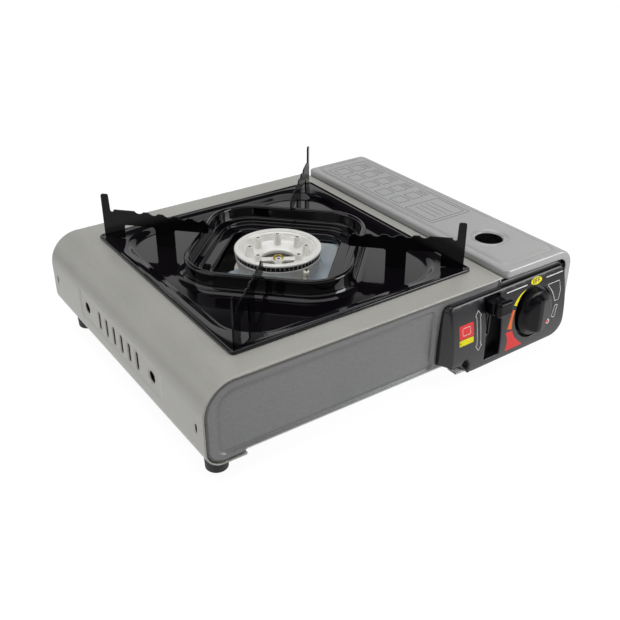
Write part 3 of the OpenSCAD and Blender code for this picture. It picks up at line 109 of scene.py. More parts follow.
def xyz(x: Array | float, y: Array | float, z: Array | float) -> Array:
    """Returns points from their coordinates, each an array or one value for all."""
    return np.stack(np.broadcast_arrays(x, y, z), -1)


def upright(points: Array, y: Array | float) -> Array:
    """Returns a pattern drawn in X and Z stood up at depth y; counter-clockwise faces -Y."""
    return xyz(points[:, 0], y, points[:, 1])


def fillet(corners: Sequence[Sequence[float]], radii: Sequence[float] | float,
           closed: bool = True, step: float = 0.7, run: float = 0.0) -> Array:
    """Rounds the corners of a path with arcs that touch both of its sides.

    Each corner is cut back by r / tan(half the corner's angle) along both sides, and
    an arc of radius r about the point on the bisector joins the cuts.

    Args:
        corners: the path's corners.
        radii: one radius, or one for each corner.
        closed: whether the last corner joins the first.
        step: longest step along an arc.
        run: longest step along a straight side, or 0 for none between corners.

    Returns:
        The rounded path, one point a row.
    """
    points = np.asarray(corners, float)
    sizes = np.broadcast_to(np.asarray(radii, float), len(points))
    pieces: list[Array] = []
    for i, (corner, radius) in enumerate(zip(points, sizes)):
        if radius <= 0 or (not closed and i in (0, len(points) - 1)):
            pieces.append(corner[None])
            continue
        back, ahead = (way / np.linalg.norm(way) for way in (
            points[i - 1] - corner, points[(i + 1) % len(points)] - corner))
        half = math.acos(float(np.clip(back @ ahead, -1, 1))) / 2
        middle = corner + (back + ahead) / np.linalg.norm(back + ahead) * radius / math.sin(half)
        cut = radius / math.tan(half)
        first, last = corner + back * cut - middle, corner + ahead * cut - middle
        start = math.atan2(first[1], first[0])
        sweep = (math.atan2(last[1], last[0]) - start + math.pi) % (2 * math.pi) - math.pi
        pieces.append(middle + radius * ray(start + spaced(0, sweep, step / radius)))
    path = np.vstack(pieces)
    if not run:
        return path
    ends = np.vstack([path, path[:1]]) if closed else path
    legs = [np.linspace(a, b, max(2, math.ceil(np.linalg.norm(b - a) / run) + 1))[:-1]
            for a, b in zip(ends[:-1], ends[1:])]
    return np.vstack(legs if closed else [*legs, path[-1:]])


@dataclass(frozen=True)
class Plan:
    """A rectangle in a flat pattern, with one corner radius or its own at each corner."""

    x0: float
    y0: float
    x1: float
    y1: float
    radii: float | tuple[float, ...]  # low left, low right, high right, high left

    @classmethod
    def about(cls, x: float, y: float, half_x: float, half_y: float, radius: float) -> "Plan":
        """Returns a rectangle round its middle."""
        return cls(x - half_x, y - half_y, x + half_x, y + half_y, radius)

    def loop(self, grow: float = 0.0, step: float = 2.0) -> Array:
        """Draws the outline, moved out by a distance and counter-clockwise.

        Args:
            grow: distance that the outline moves out, with its radii.
            step: longest step along a straight side.

        Returns:
            The outline's points.
        """
        x0, y0, x1, y1 = self.x0 - grow, self.y0 - grow, self.x1 + grow, self.y1 + grow
        return fillet([(x0, y0), (x1, y0), (x1, y1), (x0, y1)],
                      np.maximum(np.broadcast_to(self.radii, 4) + grow, 0.0), step=min(step, 1.2), run=step)

    def past_corner(self, points: Array) -> tuple[Array, Array, Array]:
        """Measures each point from the corner centre of its quarter.

        Args:
            points: points of the pattern.

        Returns:
            The offsets, the quarter's signs and its radius.
        """
        away = points - np.array([(self.x0 + self.x1) / 2, (self.y0 + self.y1) / 2])
        low_left, low_right, high_right, high_left = np.broadcast_to(self.radii, 4)
        radius = np.where(away[:, 0] > 0, np.where(away[:, 1] > 0, high_right, low_right),
                          np.where(away[:, 1] > 0, high_left, low_left))
        half = np.array([(self.x1 - self.x0) / 2, (self.y1 - self.y0) / 2])
        return np.abs(away) - half + radius[:, None], np.where(away < 0, -1.0, 1.0), radius

    def distance(self, points: Array) -> Array:
        """Returns distances to the outline, negative inside: length past the corner less its radius."""
        past, _, radius = self.past_corner(points)
        return np.hypot(*np.maximum(past, 0).T) + np.minimum(past.max(1), 0) - radius

    def outward(self, points: Array) -> Array:
        """Finds the way out: from the corner's centre past it, and else along the nearer axis.

        Args:
            points: points of the pattern.

        Returns:
            A unit direction for each.
        """
        past, sign, _ = self.past_corner(points)
        side = np.where((past[:, 0] >= past[:, 1])[:, None], [1.0, 0.0], [0.0, 1.0])
        way = np.where((past.min(1) > 0)[:, None], np.maximum(past, 0), side)
        return sign * way / np.linalg.norm(way, axis=1, keepdims=True)


LEVER_SLOT = Plan(76.9, 38.0, 82.1, 71.6, 0.5)  # in X and Z, through both front panels


def inside(points: Array, loops: Sequence[Array]) -> Array:
    """Even-odd test: a ray to +X from a point inside crosses the loops an odd number of times.

    Args:
        points: points to test.
        loops: closed outlines.

    Returns:
        True for each point inside.
    """
    odd = np.zeros(len(points), bool)
    px, py = points[:, :1], points[:, 1:]
    for loop in loops:
        (x, y), (nx, ny) = loop.T, np.roll(loop, -1, 0).T
        rise = np.where(ny == y, 1e-12, ny - y)
        hit = ((y > py) != (ny > py)) & (px < (nx - x) * (py - y) / rise + x)
        odd ^= hit.sum(1) % 2 == 1
    return odd


def pattern(outline: Array, across: Array, along: Array, holes: Sequence[Array] = (),
            lines: Sequence[Array] = (), paths: Sequence[Array] = ()) -> Surface:
    """Cuts a flat pattern into triangles: a grid of points, trimmed to its outline and holes.

    Grid points that crowd an outline are left out, and the rest are joined with the
    outlines into the triangles whose corners' circle holds no other point.

    Args:
        outline: closed outer loop.
        across: grid stations of the first coordinate.
        along: grid stations of the second coordinate.
        holes: closed loops cut out.
        lines: closed loops that the triangles have to follow, such as the foot of a wall.
        paths: open lines that they have to follow.

    Returns:
        The points and the triangles, counter-clockwise.
    """
    loops = [outline, *holes]
    fixed = np.vstack([*loops, *lines, *paths])
    grid = np.stack(np.meshgrid(across, along), -1).reshape(-1, 2)
    room = 0.45 * min(np.median(np.diff(across)), np.median(np.diff(along)))
    near = np.concatenate([
        np.sqrt(((part[:, None] - fixed[None]) ** 2).sum(2)).min(1) > room
        for part in np.array_split(grid, max(1, len(grid) // 2000))])
    grid = grid[near & inside(grid, loops)]
    edges: list[list[int]] = []
    start = 0
    for line, shut in [(line, 0) for line in (*loops, *lines)] + [(path, 1) for path in paths]:
        order = np.arange(len(line))
        edges += (np.stack([order, np.roll(order, -1)], 1)[:len(line) - shut] + start).tolist()
        start += len(line)
    verts, _, faces, *_ = delaunay_2d_cdt(
        [Vector(p) for p in np.vstack([fixed, grid]).tolist()], edges, [], 0, 1e-4)
    flat, triangles = np.array([tuple(v) for v in verts]), np.array(faces)
    triangles = triangles[inside(flat[triangles].mean(1), loops)]
    a, b, c = (flat[triangles[:, k]] for k in range(3))
    area = (b - a)[:, 0] * (c - a)[:, 1] - (b - a)[:, 1] * (c - a)[:, 0]
    triangles[area < 0] = triangles[area < 0][:, ::-1]
    return flat, triangles[np.abs(area) > 1e-9]


def filled(loops: Sequence[Array], step_x: float, step_y: float) -> Surface:
    """Returns the pattern between an outer loop and its holes, on a grid of even steps."""
    low, high = loops[0].min(0), loops[0].max(0)
    return pattern(loops[0], spaced(low[0], high[0], step_x), spaced(low[1], high[1], step_y), loops[1:])


def gap(points: Array, outline: Array) -> Array:
    """Measures to an outline: the least distance to the nearest point of each side.

    Args:
        points: points to measure.
        outline: closed loop.

    Returns:
        The distances.
    """
    way = np.roll(outline, -1, 0) - outline
    long = np.maximum((way ** 2).sum(1), 1e-12)
    parts = []
    for block in np.array_split(points, max(1, len(points) // 1500)):
        off = block[:, None] - outline
        share = np.clip((off * way).sum(2) / long, 0, 1)
        parts.append(np.sqrt(((off - share[..., None] * way) ** 2).sum(2)).min(1))
    return np.concatenate(parts)


def moved_in(loop: Array, inset: float) -> Array:
    """Moves a loop in along its normals, the path's direction turned to its left.

    Args:
        loop: closed loop, counter-clockwise.
        inset: how far it moves.

    Returns:
        The moved loop.
    """
    way = np.roll(loop, -1, 0) - np.roll(loop, 1, 0)
    way /= np.linalg.norm(way, axis=1, keepdims=True)
    return loop + inset * np.stack([-way[:, 1], way[:, 0]], 1)


def turned_edge(points: Array, plan: Plan, bend: float) -> tuple[Array, Array]:
    """Turns the edge of a flat pattern down over a bend.

    A point at distance s outside the plan goes round the bend by the angle s / bend, up
    to a quarter turn, and what is left of s runs straight down.

    Args:
        points: points of the pattern.
        plan: outline at which the bend begins.
        bend: radius of the bend.

    Returns:
        The points' places seen from above, and how far down they are.
    """
    out = plan.outward(points)
    past = np.maximum(plan.distance(points), 0.0)
    angle = np.minimum(past / bend, QUARTER)
    foot = points + out * (bend * np.sin(angle) - past)[:, None]
    return foot, bend * (1 - np.cos(angle)) + np.maximum(past - bend * QUARTER, 0.0)


def bend_lines(plan: Plan, bend: float) -> list[Array]:
    """Returns the loops of a pattern at five even angles round its edge's bend."""
    return [plan.loop(bend * QUARTER * k / 4, 3.0) for k in range(5)]


# ---------------------------------------------------------------- surfaces


class Section:
    """A sheet's profile in X and Z, measured along its length from its first corner."""

    def __init__(self, corners: Sequence[Sequence[float]], radii: Sequence[float]) -> None:
        """Rounds the corners and measures the path.

        Args:
            corners: corners of the profile's outer face.
            radii: a radius for each corner, 0 at the ends.
        """
        self.path = fillet(corners, radii, closed=False, step=0.25)
        legs = np.linalg.norm(np.diff(self.path, axis=0), axis=1)
        self.reach = np.concatenate([[0.0], np.cumsum(legs)])
        self.total = float(self.reach[-1])

    def fold(self, points: Array, lift: Array) -> Array:
        """Folds a flat pattern round the profile: its first coordinate follows it, its second is Y.

        Each point stands off along the normal, the path's direction turned to its left.

        Args:
            points: points of the pattern.
            lift: how far each one stands out from the profile.

        Returns:
            The points in space.
        """
        spot, ahead, behind = (
            np.stack([np.interp(points[:, 0] + d, self.reach, self.path[:, k]) for k in (0, 1)], 1)
            for d in (0.0, 0.3, -0.3))
        way = ahead - behind
        way /= np.linalg.norm(way, axis=1, keepdims=True)
        return xyz(spot[:, 0] - way[:, 1] * lift, points[:, 1], spot[:, 1] + way[:, 0] * lift)


def grid_faces(rows: int, columns: int, ring_rows: bool = False, ring_columns: bool = True) -> Array:
    """Joins a grid of points, stored row by row, with four-sided faces.

    Args:
        rows: number of rows.
        columns: points in a row.
        ring_rows: whether the last row joins the first.
        ring_columns: whether each row is a closed ring.

    Returns:
        Corner numbers, four a row.
    """
    r = np.arange(rows if ring_rows else rows - 1)[:, None]
    c = np.arange(columns if ring_columns else columns - 1)[None]
    r1, c1 = (r + 1) % rows, (c + 1) % columns
    corners = [r * columns + c, r * columns + c1, r1 * columns + c1, r1 * columns + c]
    return np.stack(np.broadcast_arrays(*corners), -1).reshape(-1, 4)


def lathe(profile: Sequence[Sequence[float]], x: float, y: float, count: int = 96,
          radii: float | Sequence[float] = 0.0) -> Surface:
    """Turns a closed profile round an upright axis: x = r cos a, y = r sin a.

    Args:
        profile: radius and height of each corner, counter-clockwise in (r, z).
        x: the axis.
        y: the axis.
        count: points round.
        radii: radii that round the profile's corners.

    Returns:
        Points and faces, outwards.
    """
    path = fillet(profile, radii, step=0.6)
    radius, turn = path[:, :1], angles(count)
    points = xyz(x + radius * np.cos(turn), y + radius * np.sin(turn), path[:, 1:])
    return points.reshape(-1, 3), grid_faces(len(path), count, ring_rows=True)


def rounded_block(low: Sequence[float], high: Sequence[float], radius: float,
                  count: int = 4) -> Surface:
    """A block with round edges: a box's grid, each point pulled in to a ball's reach.

    A point of the box is held inside the box shrunk by the radius, and goes out from
    there by the radius towards where it was.

    Args:
        low: lowest corner.
        high: highest corner.
        radius: radius of the edges.
        count: steps round an edge.

    Returns:
        Points and faces, outwards.
    """
    half, middle = np.subtract(high, low) / 2, np.add(high, low) / 2
    inner = half - radius
    round_in = radius * np.tan(np.linspace(0, math.pi / 4, count + 1))
    points: list[Array] = []
    faces: list[Array] = []
    for axis in range(3):
        u, v = (axis + 1) % 3, (axis + 2) % 3
        gu, gv = np.meshgrid(*(np.concatenate([-inner[k] - round_in[::-1], inner[k] + round_in])
                               for k in (u, v)), indexing="ij")
        for side in (-1, 1):
            spot = np.zeros(gu.shape + (3,))
            spot[..., u], spot[..., v], spot[..., axis] = gu, gv, side * half[axis]
            core = np.clip(spot, -inner, inner)
            way = spot - core
            way *= radius / np.maximum(np.linalg.norm(way, axis=-1, keepdims=True), 1e-9)
            faces.append((grid_faces(*gu.shape, ring_columns=False) + sum(map(len, points)))[:, ::-side])
            points.append((core + way + middle).reshape(-1, 3))
    return np.vstack(points), np.vstack(faces)


class Shell:
    """Surfaces gathered for one piece, in millimetres from the casing's middle."""

    def __init__(self, name: str) -> None:
        """Starts an empty piece.

        Args:
            name: its name.
        """
        self.name, self.count = name, 0
        self.points: list[Array] = []
        self.faces: list[tuple[Array, int]] = []

    def add(self, surface: Surface, finish: int = 0) -> "Shell":
        """Adds a surface.

        Args:
            surface: points and faces.
            finish: place of its finish in the piece's list.

        Returns:
            The piece, for the next surface.
        """
        points, faces = surface
        self.faces.append((faces + self.count, finish))
        self.points.append(points.reshape(-1, 3))
        self.count += len(self.points[-1])
        return self

    def add_slab(self, plan: Surface, loops: Sequence[Array], place: Callable[[Array, float], Array],
                 low: float, top: float, finish: int = 0) -> None:
        """Adds a thin plate: a face at each of two heights, and a rim along each of its loops.

        Args:
            plan: its points in the plane and the faces between them, counter-clockwise.
            loops: its outlines, the outer first, counter-clockwise.
            place: puts points of the plane in space, at a height over it.
            low: height of the under face.
            top: height of the upper face.
            finish: place of its finish in the piece's list.
        """
        points, faces = plan
        self.add((place(points, top), faces), finish)
        self.add((place(points, low), faces[:, ::-1]), finish)
        for k, loop in enumerate(loops):
            rim = np.stack([place(loop, low), place(loop, top)])
            self.add((rim, grid_faces(2, len(loop))[:, ::-1 if k else 1]), finish)

    def piece(self, body: str, slot: str, *finishes: "Finish", replaces: Sequence[str] = (),
              wall: float = 0.0, bevel: float = 0.0, crease: float = 35.0) -> None:
        """Makes the Blender object, and gives it its body and the nodes it stands for.

        Args:
            body: CAD body that it rides on.
            slot: material slot of the record; not used.
            finishes: its finishes, in the order that its surfaces name them.
            replaces: CAD nodes that it stands for.
            wall: thickness grown inwards from its faces, or 0.
            bevel: width of the bevel on sharp edges, or 0.
            crease: angle in degrees above which an edge stays sharp.
        """
        mesh = bpy.data.meshes.new(self.name)
        places = (np.vstack(self.points) + [0.0, MID_Y, 0.0]) * MM
        mesh.from_pydata(places.tolist(), [], [f for block, _ in self.faces for f in block.tolist()])
        mesh.polygons.foreach_set("material_index", np.concatenate(
            [np.full(len(block), mark, np.int32) for block, mark in self.faces]))
        for finish in finishes:
            mesh.materials.append(finish.material())
        shape = bmesh.new()
        shape.from_mesh(mesh)
        bmesh.ops.remove_doubles(shape, verts=shape.verts, dist=2e-6)
        bmesh.ops.dissolve_degenerate(shape, edges=shape.edges, dist=1e-6)
        shape.to_mesh(mesh)
        shape.free()
        mesh.polygons.foreach_set("use_smooth", np.ones(len(mesh.polygons), bool))
        mesh.set_sharp_from_angle(angle=math.radians(crease))
        obj = bpy.data.objects.new(self.name, mesh)
        bpy.context.scene.collection.objects.link(obj)
        if wall:
            sheet = obj.modifiers.new("wall", "SOLIDIFY")
            sheet.thickness, sheet.offset, sheet.use_rim = wall * MM, -1.0, True
        if bevel:
            edge = obj.modifiers.new("edges", "BEVEL")
            edge.width, edge.segments, edge.limit_method = bevel * MM, 2, "ANGLE"
            edge.angle_limit, edge.harden_normals = math.radians(crease), False
        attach(obj, body)
        if replaces:
            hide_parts(*replaces)
        log.info("%s: %d faces on %s", self.name, len(mesh.polygons), body)


# ---------------------------------------------------------------- finishes


def linear(code: str) -> tuple[float, ...]:
    """Returns an sRGB hex colour as linear light: ((c + 0.055) / 1.055)^2.4 above 0.04045."""
    parts = np.array([int(code[k:k + 2], 16) for k in (1, 3, 5)]) / 255
    return (*np.where(parts <= 0.04045, parts / 12.92, ((parts + 0.055) / 1.055) ** 2.4).tolist(), 1.0)


class Nodes:
    """The node tree of a material or a world, emptied for its own nodes."""

    def __init__(self, owner: bpy.types.ID) -> None:
        """Empties the owner's tree.

        Args:
            owner: the material or the world.
        """
        owner.use_nodes = True
        self.tree = owner.node_tree
        self.tree.nodes.clear()

    def add(self, kind: str, *values: object, out: int | str = 0,
            sockets: dict[int | str, object] | None = None, **settings: object) -> Socket | None:
        """Adds a node with its settings, values and links.

        Args:
            kind: node type, without its ShaderNode prefix.
            values: its first inputs in order: values, outputs to link, or None to leave one.
            out: the output wanted.
            sockets: more inputs, by name or place.
            settings: the node's own properties.

        Returns:
            The output wanted, or None where the node has none.
        """
        node = self.tree.nodes.new("ShaderNode" + kind)
        for key, value in settings.items():
            setattr(node, key, value)
        for key, value in [*enumerate(values), *(sockets or {}).items()]:
            if isinstance(value, Socket):
                self.tree.links.new(value, node.inputs[key])
            elif value is not None:
                node.inputs[key].default_value = value
        return node.outputs[out] if node.outputs else None


class Pattern(Enum):
    """Procedural patterns: the node that draws one, its output, and whether red alone is read."""

    NOISE = ("TexNoise", "Fac", False)
    CELLS = ("TexVoronoi", "Color", False)
    CRYSTALS = ("TexVoronoi", "Color", True)
    PITS = ("TexVoronoi", "Distance", False)


@dataclass(frozen=True)
class Layer:
    """A pattern whose features are size_mm across; a stretch below 1 draws it out on that axis."""

    kind: Pattern
    size_mm: float
    detail: float = 0.0
    stretch: tuple[float, float, float] = (1, 1, 1)

    def value(self, nodes: Nodes, coords: Socket) -> Socket:
        """Adds the layer's nodes.

        Args:
            nodes: tree that takes them.
            coords: coordinates that the pattern follows.

        Returns:
            The pattern's value.
        """
        kind, out, red = self.kind.value
        if self.stretch != (1, 1, 1):
            coords = nodes.add("Mapping", coords, sockets={"Scale": self.stretch})
        drawn = nodes.add(kind, out=out, sockets={
            "Vector": coords, "Scale": 1 / (self.size_mm * MM), "Detail": self.detail})
        return nodes.add("SeparateColor", drawn) if red else drawn


@dataclass(frozen=True)
class Mark:
    """A colour over the finish, whose share goes from one value to another between two levels."""

    colour: str
    levels: tuple[float, float]
    shares: tuple[float, float]
    layer: Layer | None = None  # None for the finish's own cloud


@dataclass(frozen=True)
class Finish:
    """A finish: a slow cloud between two colours, marks over them, a fine grain and a relief."""

    name: str
    colour: str
    drift: str
    metallic: float = 0.0
    roughness: float = 0.5
    swing: float = 0.08
    cloud_mm: float = 55.0
    grain_mm: float = 0.8
    relief_mm: float = 0.01
    coat: float = 0.0
    coat_roughness: float = 0.1
    specular: float = 0.5
    marks: tuple[Mark, ...] = ()
    shine: Layer | None = None  # what the roughness follows, or None for grain and handling
    raised: Layer | None = None  # what the relief follows, with the grain
    shares: tuple[float, float] = (1.0, 0.0)  # of the raised layer and of the grain

    def material(self) -> bpy.types.Material:
        """Makes the finish's material on first use.

        Returns:
            The material.
        """
        if self.name in bpy.data.materials:
            return bpy.data.materials[self.name]
        made = bpy.data.materials.new(self.name)
        nodes = Nodes(made)
        coords = nodes.add("TexCoord", out="Object")
        cloud = Layer(Pattern.NOISE, self.cloud_mm, 4.0).value(nodes, coords)
        grain = Layer(Pattern.NOISE, self.grain_mm, 2.0).value(nodes, coords)
        tone = nodes.add("Mix", nodes.add("MapRange", cloud, 0.3, 0.7, 0.0, 1.0), out=2, data_type="RGBA",
                         sockets={6: linear(self.drift), 7: linear(self.colour)})
        if self.shine:
            wear = nodes.add("Math", grain, 0.3, self.shine.value(nodes, coords), operation="MULTIPLY_ADD")
        else:
            lean = nodes.add("Math", cloud, 0.5, operation="SUBTRACT")
            wear = nodes.add("Math", lean, 0.6, grain, operation="MULTIPLY_ADD")
        rough = nodes.add("MapRange", wear, 0.25, 0.75, self.roughness - self.swing,
                          self.roughness + self.swing)
        bump = nodes.add("Bump", sockets={"Height": self.height(nodes, coords, grain),
                                          "Distance": self.relief_mm * MM, "Strength": 1.0})
        nodes.add("OutputMaterial", nodes.add("BsdfPrincipled", sockets={
            "Base Color": self.marked(nodes, coords, tone, cloud), "Roughness": rough, "Normal": bump,
            "Metallic": self.metallic, "Coat Weight": self.coat,
            "Coat Roughness": self.coat_roughness, "Specular IOR Level": self.specular}))
        made.diffuse_color = linear(self.colour)
        return made

    def marked(self, nodes: Nodes, coords: Socket, tone: Socket, cloud: Socket) -> Socket:
        """Lays the finish's marks over its colour.

        Args:
            nodes: tree that takes the nodes.
            coords: coordinates that the patterns follow.
            tone: the colour.
            cloud: the finish's cloud.

        Returns:
            The marked colour.
        """
        for mark in self.marks:
            value = mark.layer.value(nodes, coords) if mark.layer else cloud
            tone = nodes.add("Mix", nodes.add("MapRange", value, *mark.levels, *mark.shares), out=2,
                             data_type="RGBA", sockets={6: tone, 7: linear(mark.colour)})
        return tone

    def height(self, nodes: Nodes, coords: Socket, grain: Socket) -> Socket:
        """Adds up the relief: the raised layer and the grain, each by its share.

        Args:
            nodes: tree that takes the nodes.
            coords: coordinates that the pattern follows.
            grain: the finish's grain.

        Returns:
            The height.
        """
        if not self.raised:
            return grain
        first, second = self.shares
        rise = nodes.add("Math", self.raised.value(nodes, coords), first, operation="MULTIPLY")
        return nodes.add("Math", grain, second, rise, operation="MULTIPLY_ADD")


@dataclass(frozen=True)
class SilverPaint(Finish):
    """Stoved aluminium-flake paint on sheet steel: a soft grey lustre with a fine sparkle.

    Single flakes are lighter or darker, faint streaks are rubbed along it, and the relief is
    orange peel. Real flakes are too fine to show, so they are drawn at 0.45 mm.
    """

    marks: tuple[Mark, ...] = (
        Mark("#e4e4e0", (0.0, 1.0), (0.0, 0.16), Layer(Pattern.CELLS, 0.45)),
        Mark("#77776f", (0.62, 0.8), (0.0, 0.12), Layer(Pattern.NOISE, 3.0, 3.0, (1.0, 0.08, 1.0))))
    raised: Layer = Layer(Pattern.NOISE, 2.6, 1.0)
    shares: tuple[float, float] = (1.0, 0.25)


@dataclass(frozen=True)
class BlackEnamel(Finish):
    """Fired vitreous enamel on pressed steel: deep gloss over slow waves, with pale pin specks."""

    marks: tuple[Mark, ...] = (Mark("#3a3b40", (0.04, 0.09), (0.35, 0.0), Layer(Pattern.PITS, 2.2)),)
    raised: Layer = Layer(Pattern.NOISE, 5.0, 1.5)
    shares: tuple[float, float] = (1.0, 0.1)


@dataclass(frozen=True)
class CastAluminium(Finish):
    """Pressure-cast, tumbled metal: pale, finely pitted in grey, with a straw tint from heat."""

    marks: tuple[Mark, ...] = (Mark("#6f6f6c", (0.0, 0.3), (0.4, 0.0), Layer(Pattern.PITS, 1.1)),
                               Mark("#c9bfa6", (0.55, 0.8), (0.0, 0.3)))


@dataclass(frozen=True)
class SpangledZinc(Finish):
    """Hot-dip galvanised sheet: flat grey crystals 7 mm across, each with its own grey and shine."""

    marks: tuple[Mark, ...] = (Mark("#d5d8da", (0.0, 1.0), (0.0, 0.45), Layer(Pattern.CRYSTALS, 7.0)),)
    shine: Layer = Layer(Pattern.CRYSTALS, 7.0)


@dataclass(frozen=True)
class TurnedMetal(Finish):
    """Machined metal, such as brass or plated steel: fine tool lines, and dirt in slow clouds."""

    marks: tuple[Mark, ...] = (Mark("#3c3a36", (0.55, 0.75), (0.0, 0.35)),)
    raised: Layer = Layer(Pattern.NOISE, 0.25, 2.0, (1.0, 0.05, 1.0))
    shares: tuple[float, float] = (1.0, 0.3)


@dataclass(frozen=True)
class MouldedPlastic(Finish):
    """Injection-moulded ABS or acetal from a spark-eroded tool: even, fine pits, faintly scuffed."""

    marks: tuple[Mark, ...] = (
        Mark("#5c5c60", (0.66, 0.8), (0.0, 0.2), Layer(Pattern.NOISE, 1.4, 5.0, (0.15, 1.0, 1.0))),)
    raised: Layer = Layer(Pattern.PITS, 0.7)
    shares: tuple[float, float] = (0.8, 1.0)


@dataclass(frozen=True)
class HeatTintedSteel(Finish):
    """Bright steel sheet near a flame: bare at its ends, straw then blue where it gets hot."""

    hot_mm: float = 36.0
    cold_mm: float = 62.0

    def marked(self, nodes: Nodes, coords: Socket, tone: Socket, cloud: Socket) -> Socket:
        """Lays temper bands over the colour, by distance from the burner's axis.

        Args:
            nodes: tree that takes the nodes.
            coords: coordinates that the bands follow.
            tone: the colour.
            cloud: the finish's cloud, which ripples the bands.

        Returns:
            The tinted colour.
        """
        away = nodes.add("Mapping", coords, sockets={
            "Location": (-BURNER_X * MM, -(BURNER_Y + MID_Y) * MM, 0.0), "Scale": (1.0, 1.0, 0.0)})
        far = nodes.add("VectorMath", away, out="Value", operation="LENGTH")
        heat = nodes.add("MapRange", far, self.hot_mm * MM, self.cold_mm * MM, 1.0, 0.0)
        lean = nodes.add("Math", cloud, 0.5, operation="SUBTRACT")
        ramp = nodes.add("ValToRGB", nodes.add("Math", lean, 0.5, heat, operation="MULTIPLY_ADD"))
        stops = ramp.node.color_ramp.elements
        stops[0].color, stops[1].color = linear("#9da0a2"), linear("#6d7f9c")
        stops.new(0.45).color, stops.new(0.7).color = linear("#a8936b"), linear("#7c6480")
        return nodes.add("Mix", 0.16, out=2, data_type="RGBA", sockets={6: tone, 7: ramp})


@dataclass(frozen=True)
class Braid(Finish):
    """Glass-fibre sleeve braided over a wire: crossing strands 0.9 mm wide in a dusty white."""

    def height(self, nodes: Nodes, coords: Socket, grain: Socket) -> Socket:
        """Adds up two crossing sets of strands.

        Args:
            nodes: tree that takes the nodes.
            coords: coordinates that the strands follow.
            grain: the finish's grain, which the strands hide.

        Returns:
            The height.
        """
        one, other = (nodes.add("TexWave", out="Fac", sockets={
            "Vector": nodes.add("Mapping", coords, sockets={"Rotation": (0.0, 0.0, turn)}),
            "Scale": 1 / (0.9 * MM) / 20, "Distortion": 0.6}) for turn in (0.8, -0.8))
        return nodes.add("Math", one, other, operation="ADD")


# Each name gives the metal or plastic and how its surface was made, or the light or shade painted
# into its colour. The values are colour, drift, metallic, roughness, its swing, cloud, grain and relief
# in millimetres, coat, its roughness, specular.
# Stoved silver paint: lighter and warm on the cover; a darker copy on the front is painted shade,
# and a much lighter copy on the tab is a painted highlight.
CASING_PAINT = SilverPaint("silver_stove_paint", "#a9a8a2", "#a09f9a", 0.3, 0.42, 0.05, 90, 0.5, 0.006,
                           0.25, 0.28)
# The front's darker copy of the same paint is painted shade.
FRONT_SHADED_PAINT = SilverPaint("silver_paint_front_shaded", "#727273", "#696a6c", 0.3, 0.4, 0.05, 80, 0.5, 0.006,
                          0.15, 0.25)
# The tab's much lighter copy of the same paint is a painted highlight.
TAB_LIT_PAINT = SilverPaint("silver_paint_tab_lit", "#dcdcda", "#cfcfce", 0.2, 0.4, 0.05, 80, 0.5, 0.006,
                        0.15, 0.25)
LID_PAINT = SilverPaint("silver_paint_lid", "#a9aaa9", "#9fa0a0", 0.25, 0.4, 0.05, 90, 0.5, 0.006,
                        0.25, 0.25)
# The same paint made brown-grey and dull: painted shade in the groove under the cover's edge.
GROOVE_SHADE_PAINT = SilverPaint("painted_shade_groove", "#57534f", "#4b4845", 0.1, 0.5, 0.05, 30, 0.5, 0.006,
                           0.15, 0.25)
# Fired black enamel: mirror gloss on the pan, a thinner and softer coat on the supports.
PAN_ENAMEL = BlackEnamel("black_enamel_pan", "#070509", "#0b080c", 0.0, 0.07, 0.03, 70, 0.6, 0.012,
                         0.4, 0.04, 0.35)
SUPPORT_ENAMEL = BlackEnamel("black_enamel_supports", "#050407", "#08070a", 0.0, 0.16, 0.04, 40, 0.5,
                             0.01, 0.0, 0.08, 0.22)
# Zinc on sheet: broad dull crystals. Steel by the flame: satin, tinted in bands.
GALVANISED = SpangledZinc("galvanised_sheet", "#9a9ea0", "#868a8d", 1.0, 0.38, 0.12, 60, 0.4, 0.004)
HOT_PLATE = HeatTintedSteel("heat_tinted_steel", "#c3cfd6", "#b3c0c7", 0.55, 0.34, 0.08, 25, 0.35, 0.004)
# Castings: nearly white where tumbled, greyer where milled or in zinc.
HEAD_CASTING = CastAluminium("cast_aluminium_burner", "#eeedea", "#e2e1dd", 0.35, 0.42, 0.08, 18, 0.35,
                             0.015)
PORT_TEETH = CastAluminium("milled_aluminium_teeth", "#b9b8b3", "#a5a49f", 0.7, 0.45, 0.1, 6, 0.3, 0.02)
REGULATOR = CastAluminium("zinc_diecast_regulator", "#a3a4a4", "#8f9091", 0.9, 0.45, 0.08, 22, 0.4, 0.02)
# Turned pieces: bright plated screws, near-black steel that paints the shade in the ports and bores,
# warm brass, dull nickel wire.
ZINC_SCREW = TurnedMetal("zinc_plated_screws", "#b9bcbf", "#a4a79f", 1.0, 0.3, 0.08, 8, 0.3, 0.005)
# Near-black: painted shade in the port gaps behind the teeth and in the bores of the pegs and the jet.
PORT_SHADE = TurnedMetal("painted_shade_ports", "#16130f", "#100e0d", 0.2, 0.7, 0.12, 6, 0.3, 0.02,
                        raised=Layer(Pattern.NOISE, 0.5, 2.0, (1, 1, 0.2)))
BRASS = TurnedMetal("turned_brass", "#c9b65c", "#b29c48", 0.85, 0.34, 0.08, 7, 0.25, 0.004,
                    marks=(Mark("#6b5c2e", (0.55, 0.75), (0.0, 0.35)),))
ELECTRODE = TurnedMetal("nickel_electrode_wire", "#8d8a86", "#6f6a66", 1.0, 0.35, 0.1, 5, 0.25, 0.004)
# Glazed porcelain: cream under a clear, wet-looking coat. Braided glass: matt and woven.
PORCELAIN = Finish("glazed_porcelain", "#e9e6dd", "#d9d4c6", 0.0, 0.15, 0.06, 9, 0.5, 0.01, 0.8, 0.06)
SLEEVE = Braid("braided_glass_sleeve", "#d8d3c4", "#bdb7a6", 0.0, 0.75, 0.1, 12, 0.4, 0.12)
